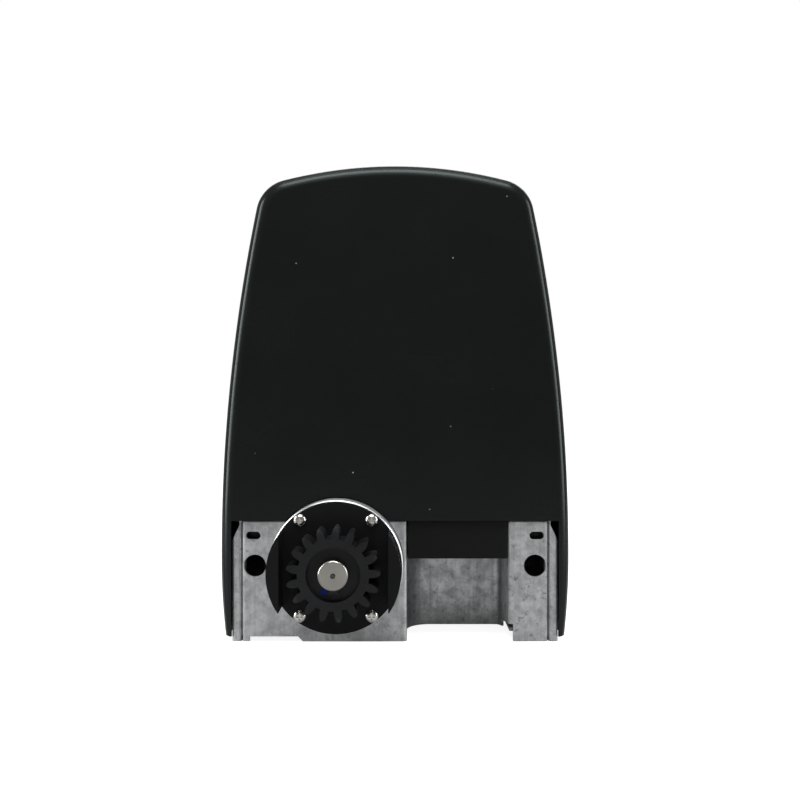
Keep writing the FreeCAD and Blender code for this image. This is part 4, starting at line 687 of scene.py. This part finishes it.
def hood_hooks():
    """The two hooks that hold the hood to the plate, each an arm over its edge and a tongue behind it."""
    hooks = []
    for x in (-HOOK_X, HOOK_X):
        y, z = PLATE_LOW.y, PLATE_HIGH.z
        under, tip = z + HOOK_RISE - HOOK_THICK, y + HOOK_REACH
        left, right = x - HOOK_HALF, x + HOOK_HALF
        hooks.append(block((left, y, under), (right, tip, z + HOOK_RISE)))
        hooks.append(block((left, tip - HOOK_THICK, z - HOOK_DROP), (right, tip, under + MM)))
    return hooks


def hood_knuckles():
    """Two knuckles under the doorway, each with a web back to the street face."""
    pin_low, pin_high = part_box("door_hinge_pin")
    y, z = (pin_low.y + pin_high.y) / 2, (pin_low.z + pin_high.z) / 2
    middle = (DOOR_LOW.x + DOOR_HIGH.x) / 2
    knuckles = []
    for x in (middle - KNUCKLE_APART, middle + KNUCKLE_APART):
        left, right = x - KNUCKLE_HALF, x + KNUCKLE_HALF
        knuckles.append(cross_bar(x, y, z, KNUCKLE_HALF, KNUCKLE))
        knuckles.append(block((left, STREET - MM, z - KNUCKLE), (right, y, z + KNUCKLE_WEB)))
    return knuckles


# ---------------------------------------------------------------- repeats

def scatter(name, places, template, material, body, node):
    """Places a template mesh at each point, joins the copies and replaces the node's plain ones."""
    points = bpy.data.meshes.new(name)
    points.from_pydata([tuple(place) for place in places], [], [])
    carrier = link(name, points)
    tree = bpy.data.node_groups.new(f"{name}_copies", "GeometryNodeTree")
    tree.interface.new_socket("Geometry", in_out="INPUT", socket_type="NodeSocketGeometry")
    size = tree.interface.new_socket("Size", in_out="INPUT", socket_type="NodeSocketFloat")
    tree.interface.new_socket("Geometry", in_out="OUTPUT", socket_type="NodeSocketGeometry")
    inside, out = tree.nodes.new("NodeGroupInput"), tree.nodes.new("NodeGroupOutput")
    source = add(tree, "GeometryNodeObjectInfo", {"Object": template})
    copies = add(tree, "GeometryNodeInstanceOnPoints", {"Points": inside.outputs["Geometry"],
                                                        "Instance": source.outputs["Geometry"],
                                                        "Scale": inside.outputs["Size"]})
    real = add(tree, "GeometryNodeRealizeInstances", {"Geometry": copies.outputs["Instances"]})
    finish = add(tree, "GeometryNodeSetMaterial", {"Geometry": real.outputs["Geometry"],
                                                   "Material": material})
    tree.links.new(finish.outputs["Geometry"], out.inputs["Geometry"])
    change = carrier.modifiers.new("copies", "NODES")
    change.node_group = tree
    change[size.identifier] = 1.0
    flattened(carrier)
    bpy.data.objects.remove(template)
    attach(carrier, body)
    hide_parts(node)
    return carrier


TURNS = {"-Y": Matrix(), "+Y": Matrix.Rotation(math.pi, 4, "Z"), "+Z": Matrix.Rotation(-math.pi / 2, 4, "X"),
         "-Z": Matrix.Rotation(math.pi / 2, 4, "X"), "X": Matrix.Rotation(math.pi / 2, 4, "Z")}


def spun(profile, steps=48):
    """A closed solid of revolution about Y from (radius, place) corners."""
    shape = bmesh.new()
    verts = [shape.verts.new((x, y, 0)) for x, y in profile]
    edges = [shape.edges.new(pair) for pair in zip(verts, verts[1:])]
    bmesh.ops.spin(shape, geom=verts + edges, cent=(0, 0, 0), axis=(0, 1, 0), angle=2 * math.pi, steps=steps,
                   use_merge=True)
    bmesh.ops.remove_doubles(shape, verts=shape.verts, dist=1e-7)
    bmesh.ops.recalc_face_normals(shape, faces=shape.faces)
    return shape


def headed(radius, head, shank, length, form, facing):
    """A screw with its seat at the origin, a cross or socket recess, and its head facing a row axis."""
    profile = [(x * radius, -y * head) for x, y in form]
    profile += [(radius, 0.0), (shank, 0.0), (shank, length), (0.0, length)]
    screw = mesh_of("screw_template", spun(profile))
    if form is PAN:
        wide, narrow, deep = radius * CROSS_LONG, radius * CROSS_WIDE, head * CROSS_DEEP
        recess = [block((-wide, -head - THROUGH, -narrow), (wide, -head + deep, narrow)),
                  block((-narrow, -head - THROUGH, -wide), (narrow, -head + deep, wide))]
    else:
        recess = [bar(0, 0, -head - THROUGH, -head * (1 - KEY_DEEP), radius * KEY_WIDE, 6)]
    smoothed(carve(screw, recess), FASTENER_SHARP)
    screw.data.transform(TURNS[facing])
    return screw


def rivet(half, radius, sheet):
    """A rivet along X with a domed head at both ends; sheet is half of what it grips."""
    dome = [(radius * math.sin(turn), sheet + (half - sheet) * math.cos(turn))
            for turn in (math.pi / 2 * step / RIVET_STEPS for step in range(RIVET_STEPS + 1))]
    profile = dome + [(radius * RIVET_SHANK, sheet)]
    profile += [(x, -y) for x, y in reversed(profile)]
    made = smoothed(mesh_of("rivet_template", spun(profile, 32)), FASTENER_SHARP)
    made.data.transform(TURNS["X"])
    return made


def dress(node, facing, head, shank, form, material):
    """Replaces a node's plain six sided screws with finished ones of the same reach."""
    corners = islands(node)
    axis, outwards = "XYZ".index(facing[1]), facing[0] == "+"
    low, high = corners[0]
    radius = max((high - low)[other] for other in range(3) if other != axis) / 2
    places = []
    for low, high in corners:
        place = (low + high) / 2
        place[axis] = high[axis] - head if outwards else low[axis] + head
        places.append(place)
    screw = headed(radius, head, shank, (high - low)[axis] - head, form, facing)
    made = scatter(f"{node}_finished", places, screw, material, "base", node)


# ---------------------------------------------------------------- operators

def finish_nodes(material, *names):
    """Gives CAD nodes a material."""
    for name in names:
        paint(NODES[name], material)


class MakeHood(bpy.types.Operator):
    """Moulded hood with its seam, window, doorway, screw slots, hooks and hinge knuckles."""
    bl_idname = "gate_motor.hood"
    bl_label = "Hood"

    def execute(self, context):
        form = hood_sizes()
        low, foot, wall = HOOD_LOW.y, HOOD_LOW.z, form.wall
        hood = hood_solid("hood", form, 0.0, low, STREET, foot, form.seam_deep)
        core = hood_solid("hood_core", form, wall, low + wall, STREET - wall, foot - CORE_DROP)
        carve(hood, [core])
        carve(hood, hood_openings())
        carve(hood, hood_hooks() + hood_knuckles(), "UNION")
        smoothed(hood, HOOD_SHARP)
        paint(hood, moulding("black_moulding", colours().hood, roughness=(0.22, 0.28), dust=0.3, shine=0.16,
                             tint=(0.82, 1, 0.97)))
        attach(hood, "cover")
        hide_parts("cover_shell")
        return {"FINISHED"}


class MakeDoor(bpy.types.Operator):
    """Finishes of the release door, its pin and its lock."""
    bl_idname = "gate_motor.door"
    bl_label = "Release door"

    def execute(self, context):
        door = moulding("door_moulding", colours().hood, roughness=(0.40, 0.5), dust=0.1, shine=0.12)
        nickel = casting("nickel", (0.66, 0.66, 0.67), metallic=1.0, roughness=(0.16, 0.26))
        finish_nodes(door, "release_door")
        finish_nodes(nickel, "lock_barrel", "door_hinge_pin")
        return {"FINISHED"}


class MakeChassis(bpy.types.Operator):
    """Finishes of the plate, cheeks, pan and their rivets and levelling screws."""
    bl_idname = "gate_motor.chassis"
    bl_label = "Chassis"

    def execute(self, context):
        sheet = zinc_sheet("galvanised", colours().zinc, marks=0.62)
        plated = zinc_sheet("bright_zinc", (0.62, 0.63, 0.65), marks=0.15)
        finish_nodes(sheet, "rear_plate", "recess_sheet", "right_plate", "left_cheek", "right_cheek",
                     "base_pan")
        finish_nodes(plated, "levelling_screws", "levelling_nuts")
        corners = islands("chassis_rivets")
        low, high = corners[0]
        half, radius = (high.x - low.x) / 2, (high.z - low.z) / 2
        made = scatter("finished_rivets", [(low + high) / 2 for low, high in corners],
                       rivet(half, radius, half - RIVET_HEAD), plated, "base", "chassis_rivets")
        for screws in CHASSIS_SCREWS:
            dress(*screws, plated)
        return {"FINISHED"}


class MakeDrive(bpy.types.Operator):
    """Finishes of the gear case, shaft, gears, bearings and clutch."""
    bl_idname = "gate_motor.drive"
    bl_label = "Drive"

    def execute(self, context):
        die_cast = casting("die_cast", (0.56, 0.57, 0.58))
        finish_nodes(die_cast, "gearbox_housing", "gearbox_lid", "motor_frame", "motor_cap")
        plated = zinc_sheet("plated_steel", (0.60, 0.61, 0.63), marks=0.1)
        for screws in DRIVE_SCREWS:
            dress(*screws, plated)
        turned = turned_metal("turned_steel", (0.34, 0.325, 0.30), roughness=0.3)
        finish_nodes(turned, "output_shaft", "release_rod", "clutch_dog", "clutch_pin", "worm_shaft",
                     "worm_plug")
        ground = turned_metal("ground_rings", (0.58, 0.59, 0.61), roughness=0.18, pitch=1.4 * MM)
        finish_nodes(ground, "front_bearing", "rear_bearing", "worm_foot_bearing", "worm_head_bearing",
                     "motor_bearing")
        finish_nodes(gear_steel("black_oxide", colours().gear), "pinion", "pinion_key")
        bronze = casting("gear_bronze", (0.58, 0.36, 0.13), metallic=0.95, roughness=(0.24, 0.38))
        finish_nodes(bronze, "worm_wheel")
        finish_nodes(moulding("nitrile", (0.014, 0.014, 0.014), roughness=(0.5, 0.62)), "oil_seal")
        finish_nodes(moulding("red_handle", (0.42, 0.03, 0.018), roughness=(0.28, 0.4)), "release_lever")
        return {"FINISHED"}


class MakeGuard(bpy.types.Operator):
    """The round guard, the sensor and the guard's cross recessed screws."""
    bl_idname = "gate_motor.guard"
    bl_label = "Guard and sensor"

    def execute(self, context):
        nylon = moulding("black_nylon", colours().guard, roughness=(0.44, 0.58), grain=900.0,
                         height=0.035 * MM, shine=0.1)
        finish_nodes(nylon, "pinion_guard", "sensor_housing")
        plated = casting("bright_plate", (0.55, 0.54, 0.51), metallic=1.0, roughness=(0.16, 0.26))
        for screws in GUARD_SCREWS:
            dress(*screws, plated)
        return {"FINISHED"}


class MakeMotor(bpy.types.Operator):
    """Finishes of the motor's core, windings, rotor and capacitor."""
    bl_idname = "gate_motor.motor"
    bl_label = "Motor"

    def execute(self, context):
        core = laminated("core_sheets", (0.30, 0.31, 0.33), pitch=0.7 * MM)
        finish_nodes(core, "stator_core", "rotor_core", "transformer")
        finish_nodes(wound_wire("copper", (0.55, 0.20, 0.07)), "stator_windings")
        finish_nodes(moulding("white_can", (0.66, 0.66, 0.63), roughness=(0.3, 0.4)), "motor_capacitor")
        finish_nodes(zinc_sheet("spring_clip", (0.5, 0.5, 0.52), marks=0.1), "capacitor_clip")
        return {"FINISHED"}


class MakeControlGear(bpy.types.Operator):
    """Finishes of the board tray and what stands on the board."""
    bl_idname = "gate_motor.control_gear"
    bl_label = "Control gear"

    def execute(self, context):
        finish_nodes(moulding("grey_tray", (0.22, 0.23, 0.24)), "board_tray")
        finish_nodes(board_face("green_board", (0.015, 0.12, 0.045)), "control_board", "radio_module")
        finish_nodes(moulding("green_terminals", (0.03, 0.26, 0.09), roughness=(0.3, 0.4)), "terminal_blocks")
        finish_nodes(moulding("blue_relays", (0.02, 0.09, 0.34), roughness=(0.26, 0.36)), "board_relays")
        return {"FINISHED"}


class MakeStage(bpy.types.Operator):
    """Pale floor, soft lamps and the camera in front of the gate side."""
    bl_idname = "gate_motor.stage"
    bl_label = "Stage"

    def execute(self, context):
        scene = context.scene
        scene.view_settings.view_transform = "Standard"
        floor = mesh_of("floor", floor_sheet())
        paint(floor, floor_material())
        white_world(scene)
        for settings in LAMPS:
            lamp(*settings)
        camera(scene)
        return {"FINISHED"}


def floor_sheet():
    """The floor's flat sheet, just under the object's foot."""
    shape = bmesh.new()
    bmesh.ops.create_grid(shape, x_segments=1, y_segments=1, size=FLOOR_HALF,
                          matrix=Matrix.Translation((0, 0, -FLOOR_DROP)))
    return shape


def floor_glow(tree):
    """White to the camera and through glass, and dimmer to a glossy face."""
    path = add(tree, "ShaderNodeLightPath")
    shown = arithmetic(tree, "MAXIMUM", path.outputs["Is Camera Ray"], path.outputs["Is Transmission Ray"])
    mirrored = arithmetic(tree, "MULTIPLY", path.outputs["Is Glossy Ray"], FLOOR_SHEEN)
    return arithmetic(tree, "MAXIMUM", shown, mirrored)


def floor_material():
    """Pale floor that keeps the shadow and is white to the camera elsewhere."""
    made, tree, surface = shader("pale_floor", roughness=0.9)
    surface.inputs["Base Color"].default_value = FLOOR_GREY
    surface.inputs["Specular IOR Level"].default_value = 0.0
    surface.inputs["Emission Color"].default_value = (1, 1, 1, 1)
    place = object_place(tree)
    away = add(tree, "ShaderNodeVectorMath", {0: place}, operation="LENGTH").outputs["Value"]
    glow = arithmetic(tree, "MULTIPLY", floor_glow(tree), remap(tree, away, 0.3, 0.9, 0.88, 1.0))
    tree.links.new(glow, surface.inputs["Emission Strength"])
    return made


def white_world(scene):
    """White behind the object, and a faint even light on it."""
    world = bpy.data.worlds.new("studio")
    scene.world = world
    world.use_nodes = True
    tree = world.node_tree
    background = tree.nodes["Background"]
    background.inputs["Color"].default_value = (1, 1, 1, 1)
    path = add(tree, "ShaderNodeLightPath")
    lit = remap(tree, path.outputs["Is Glossy Ray"], 0.0, 1.0, WORLD_LIGHT, WORLD_SHEEN)
    strength = arithmetic(tree, "MAXIMUM", path.outputs["Is Camera Ray"], lit)
    tree.links.new(strength, background.inputs["Strength"])


def lamp(name, place, aim, size, watts):
    """A soft rectangular lamp."""
    data = bpy.data.lights.new(name, "AREA")
    data.shape = "RECTANGLE"
    data.size, data.size_y = size
    data.energy = watts
    made = bpy.data.objects.new(name, data)
    made.location = place
    made.rotation_euler = (Vector(aim) - Vector(place)).to_track_quat("-Z", "Y").to_euler()
    bpy.context.scene.collection.objects.link(made)


def camera(scene):
    """A level camera that faces the gate side."""
    data = bpy.data.cameras.new("camera")
    data.lens = CAMERA_LENS
    made = bpy.data.objects.new("camera", data)
    made.location = (CAMERA_ASIDE, PLATE_LOW.y - CAMERA_AWAY, CAMERA_HIGH)
    made.rotation_euler = (math.pi / 2, 0, 0)
    scene.collection.objects.link(made)
    scene.camera = made


class GateMotorPanel(bpy.types.Panel):
    """Steps that dress the gate motor, and their settings."""
    bl_idname = "VIEW3D_PT_gate_motor"
    bl_label = "Gate Motor"
    bl_space_type = "VIEW_3D"
    bl_region_type = "UI"
    bl_category = "Gate Motor"

    def draw(self, context):
        for step in STEPS:
            self.layout.operator(step.bl_idname)
        for label in HoodSizes.__annotations__:
            self.layout.prop(hood_sizes(), label)
        for label in FinishColours.__annotations__:
            self.layout.prop(colours(), label)


STEPS = (MakeHood, MakeDoor, MakeChassis, MakeDrive, MakeGuard, MakeMotor, MakeControlGear, MakeStage)
CLASSES = (HoodSizes, FinishColours, *STEPS, GateMotorPanel)


def register():
    for item in CLASSES:
        bpy.utils.register_class(item)
    bpy.types.Scene.gate_motor_hood = bpy.props.PointerProperty(type=HoodSizes)
    bpy.types.Scene.gate_motor_colours = bpy.props.PointerProperty(type=FinishColours)


def unregister():
    del bpy.types.Scene.gate_motor_hood
    del bpy.types.Scene.gate_motor_colours
    for item in reversed(CLASSES):
        bpy.utils.unregister_class(item)


def main():
    """Runs each step in order."""
    register()
    for step in STEPS:
        area, name = step.bl_idname.split(".")
        getattr(getattr(bpy.ops, area), name)()


if __name__ == "__main__":
    main()
